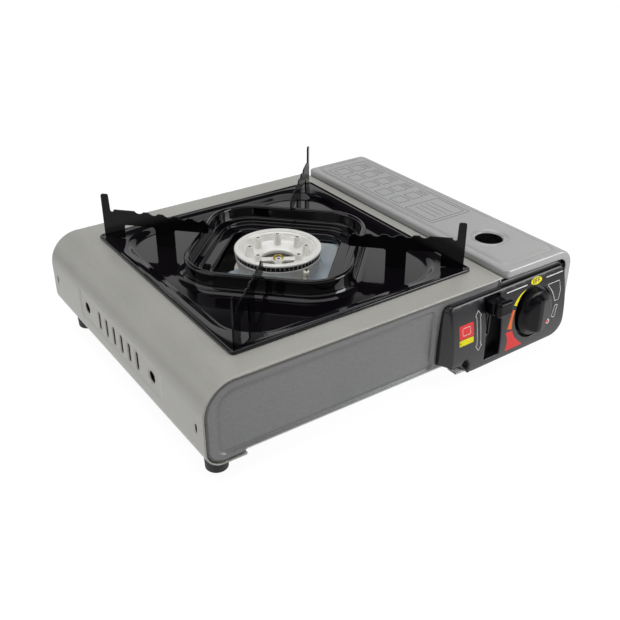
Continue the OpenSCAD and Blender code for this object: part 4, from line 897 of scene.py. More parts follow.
# Moulded rubber: near black and matt, the feet with a coarser skin.
SEAL = MouldedPlastic("nitrile_seal", "#141414", "#1d1c1b", 0.0, 0.55, 0.08, 6, 0.3, 0.01)
FOOT_RUBBER = MouldedPlastic("moulded_black_rubber", "#1a1a1b", "#242423", 0.0, 0.62, 0.1, 12, 0.35,
                             0.03, raised=Layer(Pattern.PITS, 0.9))
# Moulded ABS: blue-black with a soft shine, grey on the igniter; acetal: milky white.
PANEL_PLASTIC = MouldedPlastic("black_abs_panel", "#0f0e13", "#141319", 0.0, 0.27, 0.05, 50, 0.35, 0.006,
                               0.15, 0.16, 0.5)
KNOB_PLASTIC = MouldedPlastic("black_abs_knob", "#09080c", "#0d0c11", 0.0, 0.24, 0.05, 20, 0.35, 0.006,
                              0.0, 0.12, 0.16)
INNER_PLASTIC = MouldedPlastic("grey_abs_igniter", "#3b3d42", "#45474c", 0.0, 0.4, 0.08, 15, 0.35, 0.01)
CAM_PLASTIC = MouldedPlastic("natural_acetal_cam", "#d9d6cc", "#cbc7ba", 0.0, 0.38, 0.08, 12, 0.3, 0.008)
# Screen-printed ink: flat, even colour with a faint sheen. The black also paints the shadow
# on the strip above the control panel.
RED_INK, ORANGE_INK, YELLOW_INK, WHITE_INK, BLACK_INK_AND_SHADE, GREY_INK = (
    Finish(f"{name}_printed_ink", colour, drift, 0.0, 0.4, 0.08, 9, 0.3, 0.004, *coat)
    for name, colour, drift, coat in (
        ("red", "#f4403f", "#e63a38", (0.0, 0.1, 0.25)), ("orange", "#fb7a3a", "#ee7034", (0.0, 0.1, 0.25)),
        ("yellow", "#fbee1e", "#eee01a", (0.0, 0.1, 0.25)), ("white", "#e4e4e2", "#dadad7", (0.2,)),
        ("black", "#111012", "#161517", (0.2,)), ("grey", "#55565a", "#4c4d51", (0.2,))))


# ---------------------------------------------------------------- casing


@dataclass
class Casing:
    """The wrapped top cover, the two end panels and the feet."""

    left: float = -172.5
    front: float = -137.5
    rear: float = 137.5
    top: float = 84.0
    bottom: float = 17.5
    sheet: float = 1.0
    top_bend: float = 26.0
    low_bend: float = 14.0
    under_flange: float = 18.5
    cover_end: float = 94.5
    cover_flange: float = 10.0
    flange_bend: float = 1.4
    notch: float = 2.2  # how far the right flange stops short of front and rear
    pan_hole: tuple[float, float, float] = (106.65, 110.4, 4.0)  # half width, half depth, radius
    vent_z: float = 50.0
    vent_pitch: float = 14.0
    vent: tuple[float, float] = (15.9, 3.9)  # length and width
    vent_field: tuple[float, float, float] = (13.25, 75.0, 4.0)  # half height, half length, radius
    press: float = 0.6
    screw_hole: float = 4.7
    foot_at: tuple[float, float] = (154.5, 117.5)
    foot_radius: float = 9.1

    def build(self) -> None:
        """Builds the cover, the panels and the four feet."""
        self.top_cover()
        self.front_panel()
        self.rear_panel()
        x, y = self.foot_at
        for end, foot_y in (("front", -y), ("rear", y)):
            for side, foot_x in (("left", -x), ("right", x)):
                self.foot(f"foot_{end}_{side}", foot_x, foot_y)

    def top_cover(self) -> None:
        """Folds the cover from one flat pattern: under flange, left side, top, right flange.

        The pattern's edges at the front and rear roll in over their last millimetre as a
        quarter round, and the field round the vents is pressed in by a smooth step of 3 mm.
        """
        front, rear = self.front, self.rear
        section = Section(
            [(self.left + self.low_bend + self.under_flange, self.bottom), (self.left, self.bottom),
             (self.left, self.top), (self.cover_end, self.top),
             (self.cover_end, self.top - self.cover_flange)],
            [0, self.low_bend, self.top_bend, self.flange_bend, 0])
        side = self.under_flange + self.low_bend * QUARTER  # where the left side starts
        bend = side + self.top - self.bottom - self.low_bend - self.top_bend  # where it ends
        top = bend + self.top_bend * QUARTER  # where the top starts
        vent_u = side + self.vent_z - self.bottom - self.low_bend
        middle_u = top - self.left - self.top_bend  # the pattern's length at X = 0
        long, wide = self.vent
        holes = [Plan.about(vent_u, y, long / 2, wide / 2, wide / 2 - 0.01).loop(step=1.5)
                 for y in (np.arange(6) - 2.5) * self.vent_pitch]
        holes += [Plan.about(vent_u - 3, y, 3.5, 1.5, 1.49).loop(step=1.5) for y in (-126.5, 126.5)]
        holes += [circle(vent_u, y, self.screw_hole, 28) for y in (-60, 60)]
        half_x, half_y, corner = self.pan_hole
        holes.append(Plan.about(middle_u + BURNER_X, BURNER_Y, half_x, half_y, corner).loop(step=4.0))
        end, turn_u = section.total, section.total - self.cover_flange + 0.6
        y0, y1 = front + self.notch, rear - self.notch
        outline = fillet([(0, front), (turn_u, front), (turn_u, y0), (end, y0),
                          (end, y1), (turn_u, y1), (turn_u, rear), (0, rear)],
                         [2, 0, 0, 0.8, 0.8, 0, 0, 2], run=3.5)
        pressed = Plan.about(vent_u, 0, *self.vent_field)
        edge = np.array([0.3, 0.6, 1.0, 1.6])
        points, triangles = pattern(
            outline, stations(0.5, 5, self.under_flange, 1.8, side, 1.6, bend, 1.8, top, 5.0,
                              turn_u - 1.6, 0.5, turn_u + 1.6, 3, end - 1),
            np.concatenate([front + edge, spaced(front + 4, rear - 4, 4.6), rear - edge[::-1]]),
            holes, [pressed.loop(-d, 3.0) for d in (0.0, 0.8, 1.6, 2.4, 3.2)])
        roll = np.minimum(rear - np.abs(points[:, 1]), 1.0)
        lift = -self.press * ease(-pressed.distance(points) / 3.0) - 0.45 * quarter_round(1.0 - roll)
        Shell("top_cover_sheet").add((section.fold(points, lift), triangles)).piece(
            "casing", "casing_paint", CASING_PAINT, replaces=["top_cover"], wall=0.9, crease=40)

    def end_plan(self) -> Array:
        """Draws the end panels, inside the cover, the lid and the bay.

        Returns:
            Their outline in X and Z.
        """
        return fillet(
            [(-171.5, 18.5), (-140.2, 18.5), (-140.0, 21.0), (93.4, 21.0), (93.5, 17.5), (170.5, 17.5),
             (170.5, 80.0), (93.5, 80.0), (93.4, 83.0), (-171.5, 83.0)],
            [13, 0.6, 0.6, 0, 0.5, 8, 13, 0, 0.5, 25], run=3.0)

    @staticmethod
    def rows(outline: Array, insets: Sequence[float], pressed: Plan, steps: Sequence[float]) -> list[Array]:
        """Draws the loops that a panel's triangles follow, along its edge and its pressed field.

        Args:
            outline: the panel's outline.
            insets: distances from it, where the loops are thinned if they would crowd.
            pressed: outline of the field.
            steps: distances into the field.

        Returns:
            The loops.
        """
        rings = [(moved_in(outline, d), d) for d in insets]
        return [*(ring[gap(ring, outline) > d * 0.97] for ring, d in rings),
                *(pressed.loop(-d, 3.0) for d in steps)]

    def front_panel(self) -> None:
        """Presses the front: a rolled edge, and a field sunk by a step over 3.5 mm.

        The edge falls back by 2.3 mm as a quarter round over 2.8 mm from the outline. Round
        the field a bead 1.5 mm deep rises and falls by smooth steps. A brown-grey paint in the
        groove along the top and left edges is painted shade, and black on the strip above the
        control panel is a painted shadow.
        """
        outline = self.end_plan()
        pressed = Plan(-162.4, 24.6, 26, 75.2, (8, 5, 5, 16))
        holes = [circle(*KNOB_AT, 5, 24), LEVER_SLOT.loop(step=3), *(
            circle(x, z, 1.55, 16) for x, z in ((44, 36), (44, 65), (96.5, 26.5), (157, 29.5)))]
        points, triangles = pattern(
            outline, spaced(-170, 169, 3.2), spaced(20, 82, 2.6), holes,
            self.rows(outline, (0.25, 0.6, 1.2, 2.0, 3.0), pressed,
                      (-2.6, -1.8, -1.1, -0.5, 0.0, 0.5, 1.0, 1.8, 2.8, 3.8)))
        away, depth = gap(points, outline), -pressed.distance(points)
        y = self.front + self.sheet + 2.3 * quarter_round(1.0 - away / 2.8) \
            + 1.5 * ease((depth + 1.3) / 1.9) - 0.6 * ease((depth - 0.9) / 2.9)
        x, z = points[triangles].mean(1).T
        # Painted shadow: the strip above the control panel, under the lid's flange, is coloured with black ink.
        strip = (x > 90) & (z > 75.5)
        # Painted shade: triangles within 3 mm of the outline, along the top and left, take the darker groove
        # paint.
        groove = (away[triangles].max(1) < 3.03) & ((z > 62) | (x < -160)) & ~strip
        shell = Shell("front_panel_sheet")
        for chosen, finish in ((~groove & ~strip, 0), (strip, 3), (groove, 2)):
            shell.add((upright(points, y), triangles[chosen]), finish)
        face = self.front + 1.95  # of the tab below the field, with its foot and three ribs
        for low, high, radius in (((44.05, face - 0.95, 16.05), (53.95, face, 23.2), 0.4),
                                  ((44.05, self.front - 7.9, 16.05), (53.95, face, 16.95), 0.4),
                                  *(((44.9, y0, 16.5), (53.1, y0 + 0.9, 17.3), 0.35)
                                    for y0 in (-144.4, -142.4, -140.4))):
            shell.add(rounded_block(low, high, radius), 1)
        # Finishes: the front's darker paint (painted shade), the tab's lighter paint (painted highlight), the
        # groove's painted shade, and black for the painted shadow on the strip.
        shell.piece("casing", "front_paint", FRONT_SHADED_PAINT, TAB_LIT_PAINT, GROOVE_SHADE_PAINT, BLACK_INK_AND_SHADE,
                    replaces=["front_panel"], wall=0.85, crease=40)

    def rear_panel(self) -> None:
        """Presses the rear panel: the same outline, a rolled edge and eight upright vents."""
        outline = self.end_plan()
        pressed = Plan.about(BURNER_X, self.vent_z, 62, 14, 5)
        vents = [Plan.about(x, self.vent_z, 1.5, 7.75, 1.49).loop(step=1.5)
                 for x in BURNER_X + (np.arange(8) - 3.5) * self.vent_pitch]
        points, triangles = pattern(outline, spaced(-170, 169, 3.4), spaced(20, 82, 2.8), vents,
                                    self.rows(outline, (0.35, 0.9, 1.6), pressed, (0.0, 1.0, 2.0, 3.0)))
        y = self.rear - self.sheet - quarter_round(1.0 - gap(points, outline) / 2.2) \
            - 0.5 * ease(-pressed.distance(points) / 3.0)
        Shell("rear_panel_sheet").add((upright(points, y), triangles[:, ::-1])).piece(
            "casing", "casing_paint", CASING_PAINT, replaces=["rear_panel"], wall=0.85, crease=40)

    def foot(self, name: str, x: float, y: float) -> None:
        """Turns a hollow rubber foot with a rounded tread and a groove round its side.

        Args:
            name: its CAD node.
            x: its axis.
            y: its axis.
        """
        r = self.foot_radius
        profile = [(2.1, 9.0), (4.6, 9.0), (4.6, 0.0), (r - 1.7, 0.0), (r - 0.7, 1.0), (r - 0.05, 14.4),
                   (r - 0.6, 14.8), (r - 0.6, 15.4), (r, 15.8), (r, 17.5), (2.1, 17.5)]
        radii = [0, 0.5, 0.6, 1.2, 1.0, 0.3, 0.2, 0.2, 0.3, 0.6, 0]
        Shell(f"{name}_rubber").add(lathe(profile, x, y, 72, radii)).piece(
            "casing", "rubber_feet", FOOT_RUBBER, replaces=[name])


# ---------------------------------------------------------------- cartridge lid


@dataclass
class CartridgeLid:
    """The hinged lid over the cartridge: flanged on three sides, with a long skirt on its right."""

    plan: Plan = Plan(2.0, -137.0, 400.0, 131.0, (2.5, 0.1, 0.1, 2.5))  # past the skirt at its right
    left: float = 95.5
    right: float = 172.5
    sheet_z: float = 89.4
    bend: float = 15.0
    skirt_z: float = 32.0
    edge_bend: float = 2.0
    flange: float = 8.0
    raised: Plan = Plan(8.0, -131.0, 61.0, 125.0, 6.0)
    hole: tuple[float, float, float] = (32.5, -86.5, 12.25)
    hinge: tuple[float, float, float] = (168.5, 25.0, 3.2)
    barrel: float = 10.0
    leaf_y: float = 80.0

    def build(self) -> None:
        """Presses the lid, and adds the two hinge leaves under its skirt.

        By smooth steps, its top has a field raised 0.6 mm and a ring pressed down 1.1 mm
        round the hole, whose edge turns down by 1.5 mm. A groove round the field falls by a
        bell curve, exp(-s^2). The flange runs out before the skirt's lower edge.
        """
        section = Section([(self.left, self.sheet_z), (self.right, self.sheet_z),
                           (self.right, self.skirt_z)], [0, self.bend, 0])
        end, plan = section.total, self.plan
        turned = self.edge_bend * QUARTER + self.flange - self.edge_bend
        low_x, low_y, high_y = plan.x0 - turned, plan.y0 - turned, plan.y1 + turned
        outline = fillet([(low_x, low_y), (end, low_y), (end, high_y), (low_x, high_y)],
                         [2.5 + turned, 5.0, 5.0, 2.5 + turned], run=3.5)
        x, y, r = self.hole
        bends = []
        for loop in bend_lines(plan, self.edge_bend):  # brought inside the pattern's right edge
            held = np.minimum(loop, [end - 0.4, np.inf])
            bends.append(held[np.linalg.norm(held - np.roll(held, 1, 0), axis=1) > 1e-3])
        points, triangles = pattern(
            outline, stations(low_x + 1, 2.0, plan.x0, 3.2, 61, 1.0, 62, 1.6, 62 + self.bend * QUARTER, 1.5,
                              87, 3.5, end - 2),
            spaced(low_y + 1.5, high_y - 1.5, 3.6), [circle(x, y, r - 0.6, 64)],
            [*(circle(x, y, r + d, 64) for d in (-0.4, 0.0, 0.4, 0.9, 2.2, 3.2, 4.4, 5.4)),
             *(self.raised.loop(-d, 3.0) for d in (-2.2, -1.5, -1.0, -0.5, 0.0, 0.4, 0.8, 1.3, 1.8)), *bends])
        flat, drop = turned_edge(points, plan, self.edge_bend)
        drop = np.where(flat[:, 1] < plan.y0 + 0.5, drop * 0.88, drop)
        away, from_hole = self.raised.distance(flat), np.hypot(flat[:, 0] - x, flat[:, 1] - y)
        lift = 0.6 * ease((0.2 - away) / 1.8) - 0.9 * np.exp(-((away - 1.0) / 0.8) ** 2) \
            - 1.1 * ease((r + 4.6 - from_hole) / 1.2) * (1 - ease((r + 2.4 - from_hole) / 1.2)) \
            - 1.5 * ease((r + 0.7 - from_hole) / 1.3)
        drop *= np.maximum(1 - ease((flat[:, 0] - end + 3.0) / 3.0), 0.25)
        shell = Shell("cartridge_lid_sheet").add((section.fold(flat, lift - drop), triangles))
        for y in (-self.leaf_y, self.leaf_y):
            self.leaf(shell, y)
        shell.piece("lid", "lid_paint", LID_PAINT, replaces=["cartridge_lid"], wall=0.85, crease=40)
        self.prints()

    def leaf(self, shell: Shell, y: float) -> None:
        """Adds a hinge leaf: a bored barrel round the pin, and a tongue up to the skirt.

        Args:
            shell: the lid.
            y: middle of the leaf.
        """
        x, z, r = self.hinge
        y0, y1 = y - self.barrel / 2, y + self.barrel / 2
        points, faces = lathe([(1.6, y0), (r, y0), (r, y1), (1.6, y1)], 0, 0, 40, [0.2, 0.4, 0.4, 0.2])
        shell.add((points[:, [0, 2, 1]] + [x, 0.0, z], faces[:, ::-1]))
        shell.add(rounded_block((self.right - 1.75, y0, z + 0.6), (self.right - 0.85, y1, self.skirt_z + 3),
                                0.3))

    def prints(self) -> None:
        """Prints a plain card on the lid's field: a frame, rows of empty boxes and a few rules."""
        shell = Shell("lid_prints")
        rows = (12, 34, 56, 78, 98)
        boxes = [Plan(12, -38, 57, 117, 2.0), Plan(15, -34, 54, 2, 1.0),
                 *(Plan(u, y, v, y + 14, 1.2) for u, v in ((16, 30), (33, 46)) for y in rows)]
        rules = [*(Plan(u, y, u + 0.5, y + 14, 0.1) for y in rows for u in (48.4, 50.6, 52.8)),
                 *(Plan(u, -30, u + 0.5, -2, 0.1) for u in (24, 30, 36, 42))]
        for loops in [[box.loop(step=2.5), box.loop(-0.6, 2.5)] for box in boxes] \
                + [[rule.loop(step=2.5)] for rule in rules]:
            shell.add_slab(filled(loops, 6.0, 6.0), loops, self.on_top, 0.61, 0.66)
        shell.piece("lid", "lid_paint", GREY_INK, crease=60)

    def on_top(self, flat: Array, lift: float) -> Array:
        """Returns points of the lid's pattern at a height over its sheet."""
        return xyz(flat[:, 0] + self.left, flat[:, 1], self.sheet_z + lift)


# ---------------------------------------------------------------- control panel


@dataclass
class ControlPanel:
    """The moulded panel with the knob's well, the lever's trough and its printed scale."""

    plan: Plan = Plan(36.9, 16.4, 162.6, 75.6, (1.2, 12.6, 4.1, 3.0))
    step: tuple[float, float, float] = (55.0, 26.5, 2.0)  # right end, height and radius of the step
    step_bend: float = 1.1
    back: float = -136.5
    edge_bend: float = 1.4
    wall: float = 8.0  # how far the wall's pattern runs past its bend
    lean: float = 5.5 / 11.5
    well_radius: float = 21.8
    well_floor: float = -141.5
    trough: Plan = Plan(71, 21.5, 88, 74.5, 1.2)
    trough_floor: float = -139.0
    notch: tuple[float, float, float] = (50.6, 26.5, 3.4)

    def build(self) -> None:
        """Builds the moulding and its prints."""
        self.moulding()
        self.prints()

    def moulding(self) -> None:
        """Moulds the panel from a flat pattern.

        Inside the edge the face stands on its curve, less the well and the trough, which
        fall to their floors by the distance to their outlines. Outside, the edge turns
        back over a bend and runs to the front panel, leaning out on the left.
        """
        plan, bend = self.plan, self.edge_bend
        turned = bend * QUARTER + self.wall
        end, level, _ = self.step
        outer = plan.loop(turned, 3.0)
        outline = np.vstack([
            outer[(outer[:, 0] > end + 0.4) | (outer[:, 1] > level + 0.4)],
            [(plan.x0 - turned, level + 0.1), (plan.x0 - bend, level + 0.1)],
            self.step_row(self.step_bend, plan.x0, plan.y0),
            [(end + 0.1, plan.y0 - bend), (end + 0.1, plan.y0 - turned)]])
        kept = [loop[(loop[:, 0] > end + 1.9) | (loop[:, 1] > level + 1.9)]
                for loop in (*bend_lines(plan, bend), plan.loop(turned - 4, 3.0))]
        a, b, r = self.notch
        bows = [np.array([a, b]) + size * r * ray(np.linspace(0.45, math.pi - 0.45, 16))
                for size in (1, 0.8, 0.55)]
        points, triangles = pattern(
            outline, spaced(29, 171, 2.4), spaced(7, 84, 2.4), [LEVER_SLOT.loop(step=3)],
            [*(circle(*KNOB_AT, self.well_radius + d, 96)
               for d in (1.1, 0.7, 0.3, 0.08, 0.0, -0.12, -0.5, -1.0)),
             *(self.trough.loop(d, 3.0) for d in (1.6, 0.9, 0.55, 0.25, 0.07, 0.0, -0.1, -0.5, -1.0))],
            [*kept, *bows])
        flat, drop = turned_edge(points, plan, bend)
        face = self.face(flat)
        wall = np.clip((drop - bend) / self.wall, 0, 1)
        y = np.where(drop > bend, face + bend + wall * (self.back - face - bend), face + drop)
        left = (plan.outward(points)[:, 0] < -0.05) & (drop > 0)
        flat[:, 0] -= np.where(left, self.lean * (y - self.curve(flat)), 0.0)
        Shell("control_panel_moulding").add((upright(flat, y), triangles)).add(self.step_wall()).piece(
            "casing", "panel_plastic", PANEL_PLASTIC, replaces=["control_panel"], wall=1.1, crease=32)

    @staticmethod
    def curve(points: Array) -> Array:
        """Returns the face's depth: a circle of 150 mm in Z about Z = 30, swept back towards +X."""
        return 1.0 - np.sqrt(150.0 ** 2 - (points[:, 1] - 30.0) ** 2) + (points[:, 0] - 30.0) * 2.5 / 134

    def face(self, points: Array) -> Array:
        """Sinks the knob's well, the lever's trough and the finger notch in the curved face.

        Args:
            points: points in X and Z.

        Returns:
            Y of each point.
        """
        a, b, r = self.notch
        well = self.well_radius - np.hypot(*(points - KNOB_AT).T)
        face = self.sunk(self.curve(points), well, self.well_floor)
        face = self.sunk(face, -self.trough.distance(points), self.trough_floor)
        hollow = np.clip(1 - np.hypot(points[:, 0] - a, points[:, 1] - b) / r, 0, 1)
        return face + 4.5 * ease(hollow * 2.2)

    @staticmethod
    def sunk(face: Array, depth_in: Array, floor: float) -> Array:
        """Sinks a face to a floor: a rounded brow over 0.9 mm, then a wall 0.1 mm across.

        Args:
            face: depth of the face.
            depth_in: how far inside the outline each point is.
            floor: depth of the floor.

        Returns:
            The new depths.
        """
        brow = 0.9 * (1 - np.sqrt(1 - np.clip((depth_in + 0.9) / 0.9, 0, 1) ** 2))
        fall = np.clip(depth_in / 0.1, 0, 1)
        return np.where(depth_in > 0, face + 0.9 + fall * (floor - face - 0.9), face + brow)

    def step_row(self, inset: float, start: float, stop: float) -> Array:
        """Draws the step's edge in X and Z, moved into the panel: along its top, round, and down.

        Args:
            inset: how far it is moved.
            start: X of its left end.
            stop: Z of its lower end.

        Returns:
            The edge's points, as many for every inset.
        """
        end, level, radius = self.step
        corner = np.array([end - radius, level - radius])
        arc = corner + (radius + inset) * ray(np.linspace(QUARTER, 0, 7))
        top = np.stack([np.linspace(start, corner[0], 34)[:-1], np.full(33, level + inset)], 1)
        side = np.stack([np.full(9, end + inset), np.linspace(corner[1], stop, 10)[1:]], 1)
        return np.vstack([top, arc, side])

    def step_wall(self) -> Surface:
        """Turns the step's edge back over a quarter bend, and runs it to the front panel.

        Returns:
            Points and faces, outwards.
        """
        bend, plan = self.step_bend, self.plan
        rows = [(bend * (1 - math.sin(a)), bend * (1 - math.cos(a)), 0.0) for a in np.linspace(0, QUARTER, 5)]
        surface = []
        for inset, depth, share in [*rows, (0.0, bend, 0.5), (0.0, bend, 1.0)]:
            turn = min(depth / self.edge_bend, 1.0)
            out = self.edge_bend * math.sqrt(1 - (1 - turn) ** 2)
            row = self.step_row(inset, plan.x0 - out - self.lean * (depth + share * 11.0), plan.y0 - out)
            y = self.face(self.step_row(bend, plan.x0, plan.y0)) + depth
            row[:, 1] += 2.4 * share * ease((44.0 - row[:, 0]) / 14.0)
            surface.append(upright(row, y + share * (self.back - y)))
        grid = np.stack(surface)
        return grid, grid_faces(*grid.shape[:2], ring_columns=False)[:, ::-1]

    def prints(self) -> None:
        """Prints the scale: a heat wedge in three inks, rules, windows, an arrow and OFF."""
        shell = Shell("panel_prints")
        yellow, orange, red, white, black = range(5)
        solid = [
            (np.vstack([self.arc(112, 151, 23.3, 26.4), self.arc(151, 112, 23.2, 23.1)]), yellow),
            (np.vstack([[(100.6, 56.6), (94.3, 41.2)], self.arc(195, 159, 26.3, 23.5)]), orange),
            (np.vstack([[(93.6, 38.8), (95.0, 21.0), (114.0, 21.0)], self.arc(243, 199, 26.9, 26.3)]), red),
            *((Plan(x0, 71.4, x1, 72.2, 0.2).loop(step=3), white)
              for x0, x1 in ((95.2, 118.8), (141.0, 161.0))),
            (Plan(42.6, 49.2, 57.6, 60.6, 0.8).loop(step=3), red),
            (Plan(42.4, 43.6, 57.4, 48.6, 0.8).loop(step=3), yellow),
            (circle(0, 0, 1) * [6.3, 2.95] + [129.6, 72.45], yellow)]
        for loop, ink in solid:
            self.print_on(shell, loop, ink)
        upper = np.vstack([self.arc(47, 6, 24.8, 24.9), [(155.0, 49.6), (157.0, 57.0), (156.4, 65.2)]])
        lower = fillet([(150.8, 45.4), (147.2, 35.4), (151.2, 33.8), (154.6, 45.4)], 0.8, run=1.6)
        arrow = fillet([(63.2, 33.4), (66.9, 38.6), (65.4, 38.6), (65.4, 62.8), (66.9, 62.8), (63.2, 68.0),
                        (59.5, 62.8), (61.0, 62.8), (61.0, 38.6), (59.5, 38.6)], 0.25, run=2.0)
        x, z, tall, wide, line = 125.4, 70.6, 3.8, 2.3, 0.62  # the letters of OFF
        for loop, width, ink, lift in (
                (upper[::-1], 0.52, white, 0.07), (lower, 0.52, white, 0.07),
                (Plan(45.9, 51.6, 54.4, 58.2, 1.2).loop(step=2), 0.5, white, 0.07),
                (arrow, 0.46, white, 0.07),
                (Plan(x, z, x + 2.5, z + tall, 1.1).loop(step=1), line, black, 0.13)):
            inner = moved_in(loop, width)
            ring = np.vstack([loop, inner]), grid_faces(2, len(loop))
            shell.add_slab(ring, [loop, inner], self.on_face, 0.01, lift, ink)
        for left in (x + wide + 0.75, x + 2 * (wide + 0.75)):
            arm, foot, top = z + tall * 0.42, left + line, z + tall
            letter = fillet([(left, z), (foot, z), (foot, arm), (left + wide * 0.8, arm),
                             (left + wide * 0.8, arm + line), (foot, arm + line), (foot, top - line),
                             (left + wide, top - line), (left + wide, top), (left, top)], 0.0, run=1.0)
            self.print_on(shell, letter, black, 0.13)
        shell.piece("casing", "panel_plastic", YELLOW_INK, ORANGE_INK, RED_INK, WHITE_INK, BLACK_INK_AND_SHADE,
                    crease=60)

    def arc(self, start: float, stop: float, first: float, last: float) -> Array:
        """Draws an arc about the knob, whose radius changes evenly.

        Args:
            start: first angle in degrees.
            stop: last angle in degrees.
            first: first radius.
            last: last radius.

        Returns:
            Its points in X and Z.
        """
        turn = np.radians(spaced(start, stop, 3))
        return KNOB_AT + np.linspace(first, last, len(turn))[:, None] * ray(turn)

    def print_on(self, shell: Shell, loop: Array, ink: int, lift: float = 0.07) -> None:
        """Lays a filled print on the panel's curved face.

        Args:
            shell: piece that takes it.
            loop: its outline in X and Z, counter-clockwise.
            ink: place of its finish.
            lift: height of the print's face over the panel.
        """
        shell.add_slab(filled([loop], 3.1, 2.1), [loop], self.on_face, 0.01, lift, ink)

    def on_face(self, flat: Array, lift: float) -> Array:
        """Returns points in X and Z stood on the curved face, at a height over it."""
        return upright(flat, self.curve(flat) - lift)


@dataclass
class Knob:
    """The turning knob: a coned skirt, a broad grip across it and a red mark."""

    radius: float = 19.6
    rim: float = -148.4
    back: float = -141.9
    cone: tuple[float, float] = (4.8, 2.5)  # width and height of the skirt's cone
    grip: float = 4.4
    half: float = 3.6
    foot: float = 18.5
    wall: float = 6.0  # how far the wall runs past its bend
    mark: tuple[float, float] = (11.4, -9.8)

    def build(self) -> None:
        """Moulds the knob: cone, grip and wall are heights over a disc.

        The cone rises by a smooth step over its width. The grip falls to its foot as
        (1 - s)^1.1, from half its width on the left and from the middle on the right, and
        its ends fall off before the rim. A pad carries the mark. Past the rim the disc
        turns back over a bend of 1 mm and runs to the back.
        """
        bend, full = 1.0, self.radius
        disc = Plan.about(0, 0, full - bend, full - bend, full - bend - 0.01)
        rings = [circle(0, 0, full - bend + bend * QUARTER * k / 4, 128) for k in range(5)]
        marks = [circle(*self.mark, r, 28) for r in (3.4, 3.0, 2.6, 2.3, 1.9, 1.4)]
        ridge = [Plan.about(0, 0, self.half + d, 14.6, 1.0).loop(0.0, 1.2) for d in (-0.8, 0.0, 0.6)]
        across = spaced(-full, full, 1.3)
        points, triangles = pattern(circle(0, 0, full - bend + bend * QUARTER + self.wall, 128), across, across,
                                    (), [*rings, *marks, *ridge])
        flat, drop = turned_edge(points, disc, bend)
        radius = np.hypot(*flat.T)
        cone = self.cone[1] * ease((full - 0.6 - radius) / self.cone[0])
        side = np.clip(np.where(flat[:, 0] < 0, (-flat[:, 0] - self.half) / (self.foot - self.half),
                                (flat[:, 0] - 0.6) / (self.foot - 0.6)), 0, 1)
        rise = self.grip * (1 - side) ** 1.1 * ease((full - 1.5 - radius) / 4.0) \
            * (1 - 0.1 * (flat[:, 1] / full) ** 2)
        pad = ease((3.4 - np.hypot(*(flat - self.mark).T)) / 0.8)
        wall = np.where(drop > bend, bend + np.minimum((drop - bend) / self.wall, 1)
                        * (self.back - self.rim - bend), drop)
        y = np.minimum(self.rim - (cone + rise) * (1 - pad) - 3.5 * pad + wall, self.back)
        from_mark = np.hypot(*(flat[triangles].mean(1) - self.mark).T)
        shell = Shell("control_knob_cap")
        for finish, near, far in ((0, 2.3, np.inf), (1, 0.0, 1.4), (2, 1.4, 2.3)):
            chosen = (from_mark >= near) & (from_mark < far)
            shell.add((upright(flat + KNOB_AT, y), triangles[chosen]), finish)
        rim = np.vstack([circle(*KNOB_AT, full, 128), KNOB_AT])
        order = np.arange(128)
        shell.add((upright(rim, self.back), np.stack([order * 0 + 128, (order + 1) % 128, order], 1)))
        shell.piece("knob", "knob_plastic", KNOB_PLASTIC, RED_INK, WHITE_INK,
                    replaces=["control_knob"], crease=38)


@dataclass
class LockLever:
    """The cartridge lever: a thumb piece in the trough, with its neck, shank and arm."""

    x: float = 79.5
    top: float = 74.2
    low: float = 61.4

    def build(self) -> None:
        """Adds the lever's blocks; the thumb's face is hollowed as a half wave over its height."""
        x = self.x
        points, faces = rounded_block((x - 6.4, -157.0, self.low), (x + 10.5, -149.9, self.top), 3.4, 7)
        high = np.clip((points[:, 2] - self.low) / (self.top - self.low), 0, 1)
        points[:, 1] += np.where(points[:, 1] < -153.5, 0.9 * np.sin(math.pi * high), 0.0)
        shell = Shell("lock_lever_moulding").add((points, faces))
        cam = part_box("cam_plate")[0][0] / MM + 0.05
        for low, high_, r in (((x - 6.6, -150.5, self.low + 0.6), (x + 7.6, -139.4, self.top - 1.4), 1.2),
                              ((x - 2.0, -140.5, 63.65), (x + 2.0, -113.0, 70.65), 0.5),
                              ((x - 2.0, -117.0, 63.65), (cam, -113.0, 70.65), 0.5)):
            shell.add(rounded_block(low, high_, r, 3))
        shell.piece("lever", "knob_plastic", KNOB_PLASTIC, replaces=["lock_lever"])


# ---------------------------------------------------------------- drip pan and supports


